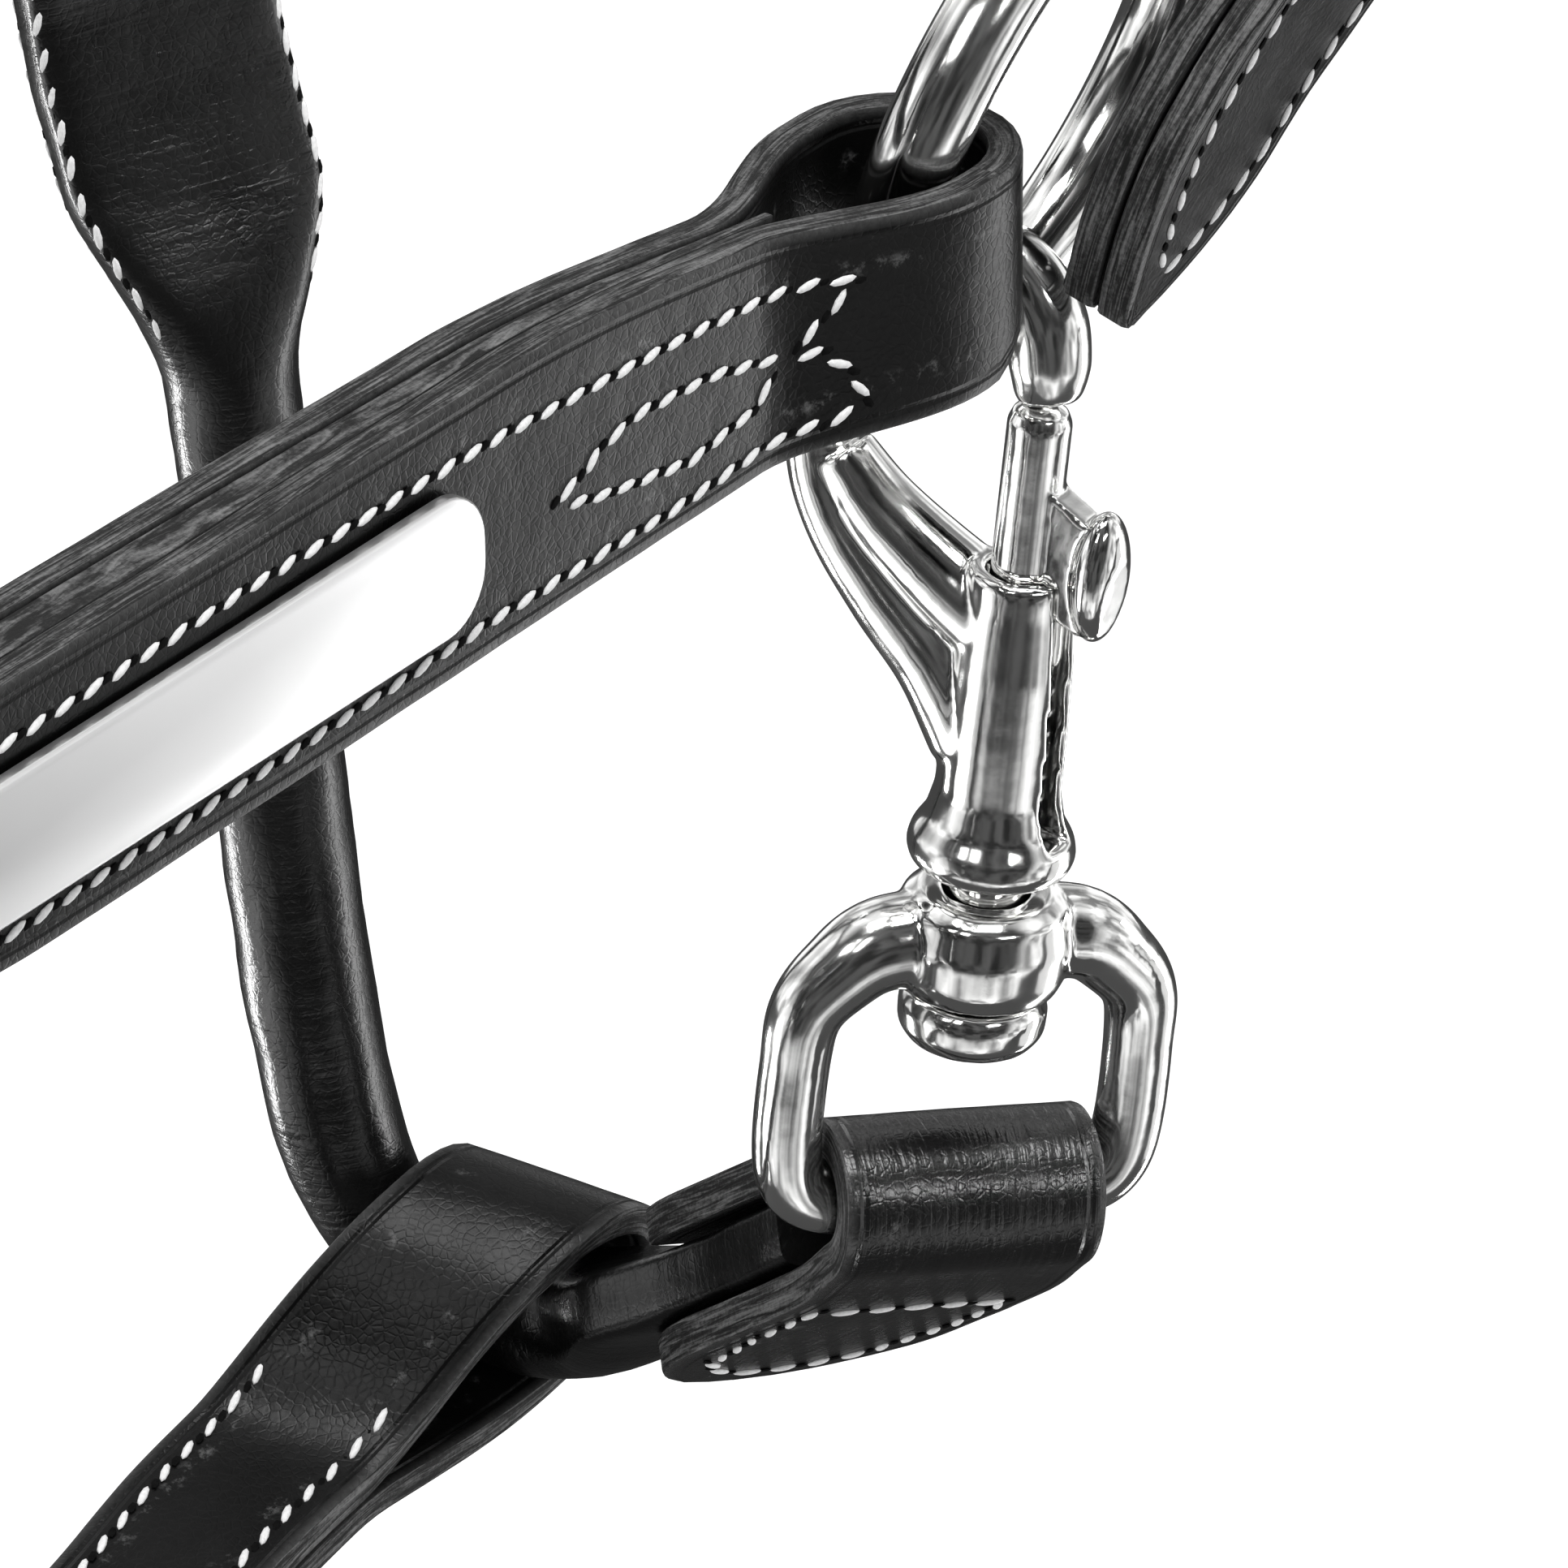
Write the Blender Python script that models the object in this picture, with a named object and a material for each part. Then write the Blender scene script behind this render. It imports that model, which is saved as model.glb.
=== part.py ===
"""A leather head halter with nickel hardware, held at the crown in the shape in which it is worn.

+Z is up, the nose points towards -X and the near (left) side of the head is at -Y. The origin lies
under the crown strap, at the poll. Every size below is in millimetres; a mesh is made in metres.
"""

import math

import bmesh
import bpy
from mathutils import Matrix, Vector

MM = 0.001
GAP = 0.3

# Leather
STRAP = 25.4
PLY = 3.1
CROWN_PLY = 3.3
CHAPE_PLY = 3.8
JAW_WIDTH = 19.0
JAW_PLAY = 3.1
JAW_LOOP = Vector((-2.7, 65.2, -147.8))
JAW_ACROSS = Vector((-0.27, 0.94, 0.2))
KEEPER_PLY = 2.2
KEEPER_WIDTH = 9.0
THREADED_EDGE = 0.28

# Rings
WIRE = 3.9
RING = 26.1
RING_STEPS = 28
WIRE_SIDES = 8
RING_PLAY = 0.7

# Near upper ring: its centre, the turn of its plane about Z and how far its top leans out
NEAR_RING = Vector((-133.8, -53.9, -197.2))
NEAR_YAW = math.radians(4.5)
NEAR_LEAN = math.radians(17.3)

# Off upper ring, which hangs a little higher than the near one
OFF_RING = Vector((-138.0, 47.0, -158.0))
OFF_YAW = math.radians(-15.0)
OFF_LEAN = math.radians(-10.0)

# Cheeks
CHEEK_START = Vector((-157.3, -54.2, -200.4))
CHEEK_LINE = Vector((-0.9986, 0.05, -0.015))
CHEEK_LENGTH = 165.0
CHEEK_LOOP = 9.15
CHEEK_LOOP_WIDTH = 20.0
NEAR_LOOP_CORNER = 6.0
FILLER_THIN = 0.9
FILLER_THICK = 4.0
FILLER_SETBACK = 19.0

# Nose rings and lead ring
NOSE_REACH = 24.0
OFF_NOSE_RISE = 17.0
LEAD_RING = Vector((-346.3, 0.0, -318.0))

# Name plate
PLATE = (74.0, 12.8, 1.2)
PLATE_START = 67.8
PLATE_DROP = 0.9
PLATE_CORNER = 5.4

# Crown chape, buckle and billet, as angles in the near ring's plane
CHAPE_ANGLE = math.radians(48.0)
CHAPE_FLARE = math.radians(11.0)
CHAPE_LENGTH = 68.0
BUCKLE_WIRE = 2.0
BUCKLE_HALF = 15.4
BUCKLE_LENGTH = 24.0
BUCKLE_RISE = 7.0
TONGUE = 1.3
HOLE = 2.2
HOLE_PITCH = 19.0
CHIN_CHAPE = 38.0

# Snap, along its own axis from the hook's level down
SNAP_TOP = Vector((-132.64, -54.3, -222.9))
SNAP_UP = Vector((0.051, -0.0786, 0.9956)).normalized()
SNAP_OUT = Vector((0.08, -0.997, -0.083))
BOLT = 2.95
BORE = 3.3
BARREL = 5.7
HOOK_ARCH = 9.6
HOOK_WIRE = 3.3
STEM = 3.6
EYE_WIRE = 3.25
EYE_BAR = -86.3
EYE_SIDE = Vector((0.763, -0.640, -0.089))
SPRING_WIRE = 0.35
SPRING_COIL = 2.35
SPRING_TURNS = 7

# Throat strap
ROLL = 6.3
CHAPE_TAIL = 45.0
CHAPE_WIDTH = 25.0


def look(name, colour, roughness, metallic=0.0):
    made = bpy.data.materials.new(name)
    made.use_nodes = True
    shader = made.node_tree.nodes["Principled BSDF"]
    shader.inputs["Base Color"].default_value = (*colour, 1.0)
    shader.inputs["Roughness"].default_value = roughness
    shader.inputs["Metallic"].default_value = metallic
    return made


for old in list(bpy.data.objects):
    bpy.data.objects.remove(old, do_unlink=True)

BLACK_LEATHER = look("black_leather", (0.022, 0.021, 0.021), 0.45)
ROLLED_LEATHER = look("rolled_leather", (0.018, 0.018, 0.018), 0.38)
NICKEL = look("nickel", (0.78, 0.78, 0.77), 0.12, 1.0)
PLATE_METAL = look("plate_metal", (0.86, 0.86, 0.86), 0.25, 1.0)
SPRING_STEEL = look("spring_steel", (0.45, 0.45, 0.45), 0.35, 1.0)


def add_object(name, bm, finish, place=None):
    """The mesh as an object whose own frame is place, with its faces turned outwards."""
    bmesh.ops.recalc_face_normals(bm, faces=bm.faces)
    mesh = bpy.data.meshes.new(name)
    bm.to_mesh(mesh)
    bm.free()
    mesh.materials.append(finish)
    mesh.shade_smooth()
    mesh.set_sharp_from_angle(angle=math.radians(40))
    made = bpy.data.objects.new(name, mesh)
    bpy.context.scene.collection.objects.link(made)
    if place is not None:
        made.matrix_world = place
    return made


def frame(origin, x, y, z):
    """A placing matrix in metres from an origin in millimetres and three directions."""
    turned = Matrix((x, y, z)).transposed().to_4x4()
    return Matrix.Translation(origin * MM) @ turned


def skin(sections, closed=False):
    """A bmesh that joins cross-sections of equal point counts one after the other.

    The two faces of a strap are divided alike, so that plies that twist together stay apart.
    """
    bm = bmesh.new()
    rows = [[bm.verts.new(point * MM) for point in section] for section in sections]
    following = rows[1:] + rows[:1] if closed else rows[1:]
    for row, after in zip(rows, following):
        for i in range(len(row)):
            a, b, c, d = row[i - 1], row[i], after[i], after[i - 1]
            if i > len(row) // 2:
                a, b, c, d = b, c, d, a
            bm.faces.new((a, b, c))
            bm.faces.new((a, c, d))
    if not closed:
        bm.faces.new(rows[0])
        bm.faces.new(rows[-1])
    return bm


def tube(path, radius, sides, across, closed=False):
    """A round bar along path. across is a direction that the path is never along."""
    sections = []
    count = len(path)
    for i, point in enumerate(path):
        before = path[i - 1] if closed or i else point
        after = path[(i + 1) % count] if closed or i < count - 1 else point
        along = (after - before).normalized()
        first = along.cross(across).normalized()
        second = along.cross(first)
        reach = radius(i) if callable(radius) else radius
        sections.append(
            [
                point + (first * math.cos(a) + second * math.sin(a)) * reach
                for a in (2 * math.pi * k / sides for k in range(sides))
            ]
        )
    return skin(sections, closed)


def turned(profile, steps):
    """A solid of revolution about Z from (radius, height) points that start and end on the axis."""
    bm = bmesh.new()
    points = [bm.verts.new(Vector((r, 0.0, z)) * MM) for r, z in profile]
    edges = [bm.edges.new(pair) for pair in zip(points, points[1:])]
    bmesh.ops.spin(
        bm,
        geom=points + edges,
        axis=(0, 0, 1),
        cent=(0, 0, 0),
        angle=2 * math.pi,
        steps=steps,
        use_merge=True,
    )
    bmesh.ops.remove_doubles(bm, verts=bm.verts, dist=1e-6)
    return bm


def cutter(name, bm, place=None):
    made = add_object(name, bm, NICKEL, place)
    made.hide_render = True
    made.display_type = "WIRE"
    return made


def boolean(target, tool, operation):
    modifier = target.modifiers.new(tool.name, "BOOLEAN")
    modifier.object = tool
    modifier.operation = operation


class Route:
    """A smooth line through hand-set points, each with the direction of the strap's width there."""

    SAMPLES = 12

    def __init__(self, points, widths, skewed=False):
        points = [Vector(p) for p in points]
        widths = [Vector(w).normalized() for w in widths]
        ends = [2 * points[0] - points[1]] + points + [2 * points[-1] - points[-2]]
        self.points, self.widths = [], []
        for i in range(len(points) - 1):
            for k in range(self.SAMPLES + (i == len(points) - 2)):
                u = k / self.SAMPLES
                self.points.append(self.between(ends[i : i + 4], u))
                self.widths.append(widths[i].lerp(widths[i + 1], u).normalized())
        self.reach = [0.0]
        for a, b in zip(self.points, self.points[1:]):
            self.reach.append(self.reach[-1] + (b - a).length)
        self.length = self.reach[-1]
        if not skewed:
            tangents = [self.tangent(i) for i in range(len(self.points))]
            self.widths = [(w - t * w.dot(t)).normalized() for w, t in zip(self.widths, tangents)]

    @staticmethod
    def between(p, u):
        """A Catmull-Rom curve from the second of four points to the third."""
        return 0.5 * (
            2 * p[1]
            + (p[2] - p[0]) * u
            + (2 * p[0] - 5 * p[1] + 4 * p[2] - p[3]) * u**2
            + (3 * p[1] - p[0] - 3 * p[2] + p[3]) * u**3
        )

    def tangent(self, i):
        i = min(max(i, 0), len(self.points) - 1)
        before, after = max(i - 1, 0), min(i + 1, len(self.points) - 1)
        return (self.points[after] - self.points[before]).normalized()

    def at(self, distance):
        """The point, direction, width and side directions at a distance along the line."""
        i = 0
        while i < len(self.reach) - 2 and self.reach[i + 1] < distance:
            i += 1
        step = self.reach[i + 1] - self.reach[i]
        u = (distance - self.reach[i]) / step
        inside = min(max(u, 0.0), 1.0)
        along = self.tangent(i).lerp(self.tangent(i + 1), inside).normalized()
        point = self.points[i].lerp(self.points[i + 1], inside) + along * (u - inside) * step
        width = self.widths[i].lerp(self.widths[i + 1], inside).normalized()
        return point, along, width, width.cross(along).normalized()


def ease(x):
    x = min(max(x, 0.0), 1.0)
    return x * x * (3 - 2 * x)


def value(amount, distance):
    return amount(distance) if callable(amount) else amount


def ribbon(name, route, track, finish, ply=PLY, width=STRAP, shift=0.0, closed=False):
    """One thickness of leather along a track of (distance along the route, offset to its side)."""
    centres, widths = [], []
    for distance, offset in track:
        point, _, across, side = route.at(distance)
        centres.append(point + side * offset + across * value(shift, distance))
        widths.append(across)
    sections = []
    count = len(track)
    round_off = ply * THREADED_EDGE
    for i, (distance, _) in enumerate(track):
        before = centres[i - 1] if closed or i else centres[i]
        after = centres[(i + 1) % count] if closed or i < count - 1 else centres[i]
        normal = (after - before).normalized().cross(widths[i]).normalized()
        a, b = value(width, distance) / 2, ply / 2
        outline = (
            (a, b - round_off),
            (a - round_off, b),
            (round_off - a, b),
            (-a, b - round_off),
            (-a, round_off - b),
            (round_off - a, -b),
            (a - round_off, -b),
            (a, round_off - b),
        )
        sections.append([centres[i] + widths[i] * x + normal * y for x, y in outline])
    return add_object(name, skin(sections, closed), finish)


def u_turn(distance, radius, way, steps=8):
    """The half circle of a fold, from its +side to its -side. way is 1 at a strap's far end, else -1."""
    angles = [math.pi * i / steps for i in range(1, steps)]
    return [(distance + way * radius * math.sin(a), radius * math.cos(a)) for a in angles]


def stops(length, first, last, pitch=17.0, taper_steps=5):
    """Distances for the cross-sections: close together where a loop closes, wide apart between."""
    count = max(1, round((length - first - last) / pitch))
    between = [first + (length - first - last) * i / count for i in range(1, count)]
    start = [first * i / taper_steps for i in range(taper_steps + 1)]
    end = [length - last * i / taper_steps for i in range(taper_steps, -1, -1)]
    return start + between + end


def closing(distance, taper):
    """How far a loop still stands open at a distance from its fold: 1 at the wire, 0 at the seam."""
    return ease(1 - (distance - 2.5) / (taper - 2.5))


def loop_side(length, loop0, loop1, half, taper=22.0, extra=()):
    """One side of a strap that is folded round something at each end, as (distance, offset)."""
    side = []
    for distance in sorted({round(d, 3) for d in stops(length, taper, taper) + list(extra)}):
        middle = value(half, distance)
        open0 = (loop0 - middle) * closing(distance, taper) if loop0 else 0.0
        open1 = (loop1 - middle) * closing(length - distance, taper) if loop1 else 0.0
        side.append((distance, middle + open0 + open1))
    return side


def folded(length, loop0, loop1, half, taper=22.0):
    """The closed track of a strap folded at both ends and sewn together between."""
    side = loop_side(length, loop0, loop1, half, taper)
    back = [(distance, -offset) for distance, offset in reversed(side)]
    return side + u_turn(length, loop1, 1) + back + u_turn(0.0, loop0, -1)[::-1]


def hemmed(length, loop0, loop1, half, tail, extra=()):
    """An open track: the outer ply, turned back at each loop into a short tail on the inner side."""
    ends = list(extra)
    ends += [tail, tail + 0.8] if loop0 else []
    ends += [length - tail, length - tail - 0.8] if loop1 else []
    side = loop_side(length, loop0, loop1, half, extra=ends)
    track = list(side)
    if loop0:
        head = [(d, -s) for d, s in side if d <= tail]
        track = head[::-1] + u_turn(0.0, loop0, -1)[::-1] + track
    if loop1:
        foot = [(d, -s) for d, s in side if d >= length - tail]
        track = track + u_turn(length, loop1, 1) + foot[::-1]
    return track


def round_ring(centre, normal, onward, across, ply=PLY, width=STRAP):
    """Where a strap's fold round a ring is centred, the fold's radius and the strap's width there.

    The wire curves across the strap's width, so the fold leaves it room. onward is a point further
    along the strap and across tells which way its width is counted.
    """
    away = onward - centre
    radial = (away - normal * away.dot(normal)).normalized()
    tangent = normal.cross(radial).normalized()
    tangent = tangent if tangent.dot(across) > 0 else -tangent
    inner = RING - WIRE
    drop = radial * (inner - math.sqrt(inner**2 - (width / 2) ** 2))
    line = (onward - centre - radial * RING).normalized()
    aside = (drop - line * drop.dot(line)) / 2
    start = centre + radial * RING - drop + aside + line * 0.3
    return start, WIRE + RING_PLAY + aside.length + ply / 2, tangent


def ring_frame(yaw, lean, side):
    """Directions of a ring: along its plane, up its plane, and out from the head."""
    level = Vector((math.cos(yaw), math.sin(yaw), 0.0))
    across = Vector((-math.sin(yaw), math.cos(yaw), 0.0))
    up = Vector((0, 0, 1)) * math.cos(lean) - across * math.sin(lean)
    return level, up, level.cross(up) * side


def ring(name, centre, level, up):
    """A welded ring of round wire, turned about its own axis."""
    bm = bmesh.new()
    stand = Matrix.Translation((RING * MM, 0, 0)) @ Matrix.Rotation(math.pi / 2, 4, "X")
    bmesh.ops.create_circle(bm, segments=WIRE_SIDES, radius=WIRE * MM, matrix=stand)
    bmesh.ops.spin(
        bm,
        geom=bm.verts[:] + bm.edges[:],
        axis=(0, 0, 1),
        cent=(0, 0, 0),
        angle=2 * math.pi,
        steps=RING_STEPS,
        use_merge=True,
    )
    bmesh.ops.remove_doubles(bm, verts=bm.verts, dist=1e-6)
    return add_object(name, bm, NICKEL, frame(centre, level, up, level.cross(up)))


def filler(distance):
    """The thickness of the ply between a cheek's halves, skived thin towards the upper ring."""
    return FILLER_THIN + (FILLER_THICK - FILLER_THIN) * ease(distance / 130.0)


def cheek(prefix, route, loop, nose_fold, lower, corner):
    """A cheek strap folded round its two rings, with the filler sewn between its plies.

    At the upper ring the strap is cut down to the loop's width, lower by lower; the loop's end is
    cut off below by corner.
    """
    length = route.length
    top_cut = STRAP - CHEEK_LOOP_WIDTH

    def half(distance):
        return (filler(distance) + 2 * GAP + PLY) / 2

    def cut_off(distance):
        return corner * ease((1.0 - distance) / 10.0)

    def width(distance):
        narrowing = max(ease(1 - distance / 62.0), ease(1 - (length - distance) / 40.0))
        return STRAP - top_cut * narrowing - cut_off(distance)

    def lowered(distance):
        return cut_off(distance) / 2 - lower * ease(1 - distance / 62.0)

    track = folded(length, loop, nose_fold, half, taper=26.0)
    ribbon(prefix + "_cheek_strap", route, track, BLACK_LEATHER, width=width, shift=lowered, closed=True)
    core = [(d, 0.0) for d in stops(length - 2 * FILLER_SETBACK, 12.0, 12.0, taper_steps=2)]
    core = [(d + FILLER_SETBACK, s) for d, s in core]
    sections = []
    for distance, _ in core:
        point, _, across, side = route.at(distance)
        a, b = width(distance) / 2 - GAP, filler(distance) / 2
        middle = point + across * lowered(distance)
        corners = ((a, b), (-a, b), (-a, -b), (a, -b))
        sections.append([middle + across * x + side * y for x, y in corners])
    add_object(prefix + "_cheek_filler", skin(sections), BLACK_LEATHER)


# Rings
near_level, near_up, near_out = ring_frame(NEAR_YAW, NEAR_LEAN, 1)
off_level, off_up, off_out = ring_frame(OFF_YAW, OFF_LEAN, -1)
ring("near_upper_ring", NEAR_RING, near_level, near_up)
ring("off_upper_ring", OFF_RING, off_level, off_up)

CHEEK_END = CHEEK_START + CHEEK_LINE * CHEEK_LENGTH
NEAR_NOSE = CHEEK_END + Vector((-NOSE_REACH, 0, 0))
OFF_NOSE = Vector((NEAR_NOSE.x, -NEAR_NOSE.y, NEAR_NOSE.z + OFF_NOSE_RISE))
X_AXIS, Y_AXIS, Z_AXIS = Vector((1, 0, 0)), Vector((0, 1, 0)), Vector((0, 0, 1))
ring("near_nose_ring", NEAR_NOSE, X_AXIS, Z_AXIS)
ring("off_nose_ring", OFF_NOSE, X_AXIS, Z_AXIS)
ring("lead_ring", LEAD_RING, X_AXIS, Y_AXIS)

# Cheek straps: the near one lies along the photographed line, the off one joins the off rings
near_route = Route([CHEEK_START, CHEEK_START.lerp(CHEEK_END, 0.5), CHEEK_END], [Z_AXIS] * 3)
_, near_nose_fold, _ = round_ring(NEAR_NOSE, Y_AXIS, CHEEK_START, Z_AXIS, width=CHEEK_LOOP_WIDTH)
lowering = (STRAP - CHEEK_LOOP_WIDTH) / 2
cheek("near", near_route, CHEEK_LOOP, near_nose_fold, lowering, NEAR_LOOP_CORNER)
off_start, off_fold, off_wide = round_ring(OFF_RING, off_out, OFF_NOSE, Z_AXIS, width=CHEEK_LOOP_WIDTH)
off_end, off_nose_fold, nose_wide = round_ring(OFF_NOSE, Y_AXIS, OFF_RING, Z_AXIS, width=CHEEK_LOOP_WIDTH)
off_middle, middle_wide = off_start.lerp(off_end, 0.5), off_wide.lerp(nose_wide, 0.5)
off_route = Route([off_start, off_middle, off_end], [off_wide, middle_wide, nose_wide])
cheek("off", off_route, off_fold, off_nose_fold, 0.0, 0.0)


def name_plate():
    """A blank bar with round ends, laid on the near cheek."""
    length, height, thickness = PLATE
    lowest, highest = (
        near_route.at(d)[0] - Y_AXIS * (filler(d) / 2 + GAP + PLY + GAP)
        for d in (PLATE_START, PLATE_START + length)
    )
    along = (highest - lowest).normalized()
    outward = Z_AXIS.cross(along).normalized()
    up = along.cross(outward)
    bm = bmesh.new()
    outline = []
    for cx, cz, first_angle in (
        (length - PLATE_CORNER, height / 2 - PLATE_CORNER, 0.0),
        (PLATE_CORNER, height / 2 - PLATE_CORNER, 90.0),
        (PLATE_CORNER, PLATE_CORNER - height / 2, 180.0),
        (length - PLATE_CORNER, PLATE_CORNER - height / 2, 270.0),
    ):
        for k in range(5):
            a = math.radians(first_angle + 22.5 * k)
            outline.append((cx + PLATE_CORNER * math.cos(a), cz + PLATE_CORNER * math.sin(a) - PLATE_DROP))
    lowest += outward * 0.4
    back = bm.faces.new([bm.verts.new((lowest + along * x + up * z) * MM) for x, z in outline])
    made = bmesh.ops.extrude_face_region(bm, geom=[back])
    front = [v for v in made["geom"] if isinstance(v, bmesh.types.BMVert)]
    bmesh.ops.translate(bm, verts=front, vec=outward * thickness * MM)
    edges = {e for v in front for e in v.link_edges if all(end in front for end in e.verts)}
    bmesh.ops.bevel(bm, geom=list(edges), offset=0.35 * MM, segments=1, profile=0.5, affect="EDGES")
    add_object("name_plate", bm, PLATE_METAL)


name_plate()


def noseband():
    """The strap over the nose, turned back round both nose rings, and the lining between its tails."""
    x = NEAR_NOSE.x
    near_top, near_fold, _ = round_ring(NEAR_NOSE, Y_AXIS, Vector((x, -49.0, -150.0)), X_AXIS)
    off_top, off_fold, _ = round_ring(OFF_NOSE, Y_AXIS, Vector((x, 49.0, -137.0)), X_AXIS)
    points = (
        near_top,
        (x, -49.0, -150.0),
        (x, -50.0, -120.0),
        (x, -43.0, -88.0),
        (x, -25.0, -64.0),
        (x, 1.0, -55.0),
        (x, 27.0, -61.0),
        (x, 44.5, -82.0),
        (x, 50.5, -110.0),
        (x, 49.0, -137.0),
        off_top,
    )
    route = Route(points, [X_AXIS] * len(points))
    half = (PLY + GAP) / 2
    tail = 42.0
    track = hemmed(route.length, near_fold, off_fold, half, tail)
    ribbon("noseband", route, track, BLACK_LEATHER)
    inside = [(d, -half) for d, s in track if s > 0 and tail < d < route.length - tail]
    ribbon("noseband_lining", route, inside, BLACK_LEATHER)


noseband()


def buckle_tongue_line():
    """The tongue from its eye round the heel bar to its rest on the far bar, in the buckle's frame."""
    eye = BUCKLE_WIRE + GAP + TONGUE
    angles = [math.radians(40 * k) for k in range(7, -1, -1)]
    turn = [(-math.sin(a) * eye, math.cos(a) * eye) for a in angles]
    rest = BUCKLE_RISE + BUCKLE_WIRE + GAP + TONGUE
    run = [(part * BUCKLE_LENGTH, eye + part * (rest - eye)) for part in (0.28, 0.62)]
    return turn + run + [(BUCKLE_LENGTH + 2.4, rest + 0.9)]


def buckle(prefix, place):
    """A heel-bar buckle: a bent wire frame, and a tongue that turns on its heel bar."""
    corner = 3.2
    path = []
    for cx, cy, first in (
        (BUCKLE_HALF - corner, BUCKLE_LENGTH - corner, 0),
        (corner - BUCKLE_HALF, BUCKLE_LENGTH - corner, 90),
        (corner - BUCKLE_HALF, corner, 180),
        (BUCKLE_HALF - corner, corner, 270),
    ):
        for k in range(4):
            a = math.radians(first + 30 * k)
            y = cy + corner * math.sin(a)
            path.append(Vector((cx + corner * math.cos(a), y, BUCKLE_RISE * y / BUCKLE_LENGTH)))
    tilt = Vector((0, -BUCKLE_RISE, BUCKLE_LENGTH)).normalized()
    add_object(prefix + "_buckle_frame", tube(path, BUCKLE_WIRE, 8, tilt, closed=True), NICKEL, place)
    line = [Vector((0, y, z)) for y, z in buckle_tongue_line()]
    add_object(prefix + "_buckle_tongue", tube(line, TONGUE, 6, X_AXIS), NICKEL, place)


def tongue_slot(name, place):
    """The slot in a chape's fold where the tongue's eye turns."""
    bm = bmesh.new()
    size = Matrix.Diagonal((4.2 * MM, 15.0 * MM, 16.0 * MM, 1))
    bmesh.ops.create_cube(bm, size=1.0, matrix=Matrix.Translation((0, 0.8 * MM, 0)) @ size)
    return cutter(name, bm, place)


def tongue_hole(name, place):
    """The hole that the tongue passes through, along the tongue itself."""
    line = buckle_tongue_line()
    start, end = Vector((0, *line[8])), Vector((0, *line[-1]))
    along = (end - start).normalized()
    lift = Vector((0, 0, 0.5))
    reach = [start - along * 6.0 + lift, end + along * 8.0 + lift]
    return cutter(name, tube(reach, HOLE, 10, X_AXIS), place)


def keeper(name, place, back, low, high):
    """A leather band round a strap at a distance behind the buckle's bar."""
    wide = STRAP / 2 + 0.7 + KEEPER_PLY / 2
    bottom, top = low - 0.5 - KEEPER_PLY / 2, high + 0.5 + KEEPER_PLY / 2
    corner = 2.0
    path = []
    for cx, cz, first in (
        (wide - corner, top - corner, 0),
        (corner - wide, top - corner, 90),
        (corner - wide, bottom + corner, 180),
        (wide - corner, bottom + corner, 270),
    ):
        for k in range(3):
            a = math.radians(first + 45 * k)
            path.append(Vector((cx + corner * math.cos(a), -back, cz + corner * math.sin(a))))
    sections = []
    for i, point in enumerate(path):
        along = (path[(i + 1) % len(path)] - path[i - 1]).normalized()
        out = along.cross(Y_AXIS)
        a, b = KEEPER_WIDTH / 2, KEEPER_PLY / 2
        corners = ((a, b - 0.5), (a - 0.5, b), (0.5 - a, b), (-a, b - 0.5), (-a, -b), (a, -b))
        sections.append([point + Y_AXIS * x + out * y for x, y in corners])
    return add_object(name, skin(sections, closed=True), BLACK_LEATHER, place)


# Crown: its chape at the near ring, the buckle, the billet and the strap over the poll
radial = near_level * math.cos(CHAPE_ANGLE) + near_up * math.sin(CHAPE_ANGLE)
chape_line = radial * math.cos(CHAPE_FLARE) + near_out * math.sin(CHAPE_FLARE)
chape_face = near_out * math.cos(CHAPE_FLARE) - radial * math.sin(CHAPE_FLARE)
chape_wide = chape_line.cross(chape_face).normalized()
chape_start, chape_fold, _ = round_ring(
    NEAR_RING, near_out, NEAR_RING + radial * RING + chape_line, chape_wide, CROWN_PLY
)
buckle_at = chape_start + chape_line * CHAPE_LENGTH
crown_buckle = frame(buckle_at, chape_wide, chape_line, chape_face)
chape_half = (CROWN_PLY + GAP) / 2
BAR_FOLD = BUCKLE_WIRE + 0.45 + CROWN_PLY / 2
chape_route = Route([chape_start, chape_start.lerp(buckle_at, 0.5), buckle_at], [chape_wide] * 3)
near_chape = ribbon(
    "near_crown_chape",
    chape_route,
    folded(CHAPE_LENGTH, chape_fold, BAR_FOLD, chape_half, taper=20.0),
    BLACK_LEATHER,
    ply=CROWN_PLY,
    closed=True,
)
boolean(near_chape, tongue_slot("crown_tongue_slot", crown_buckle), "DIFFERENCE")
buckle("crown", crown_buckle)

crown_half = CROWN_PLY + GAP / 2
BILLET_LOW = CROWN_PLY + GAP / 2 + 0.35 + crown_half
OVER_BAR = BAR_FOLD + CROWN_PLY / 2 + 0.4 + crown_half
UNDER_BAR = BUCKLE_RISE - BUCKLE_WIRE - 0.5 - crown_half


def at_buckle(place, along, out):
    return place @ Vector((0, along * MM, out * MM)) / MM


def near_point(level, up, out):
    """A point given along, up and out from the near ring's centre."""
    return NEAR_RING + near_level * level + near_up * up + near_out * out


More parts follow.
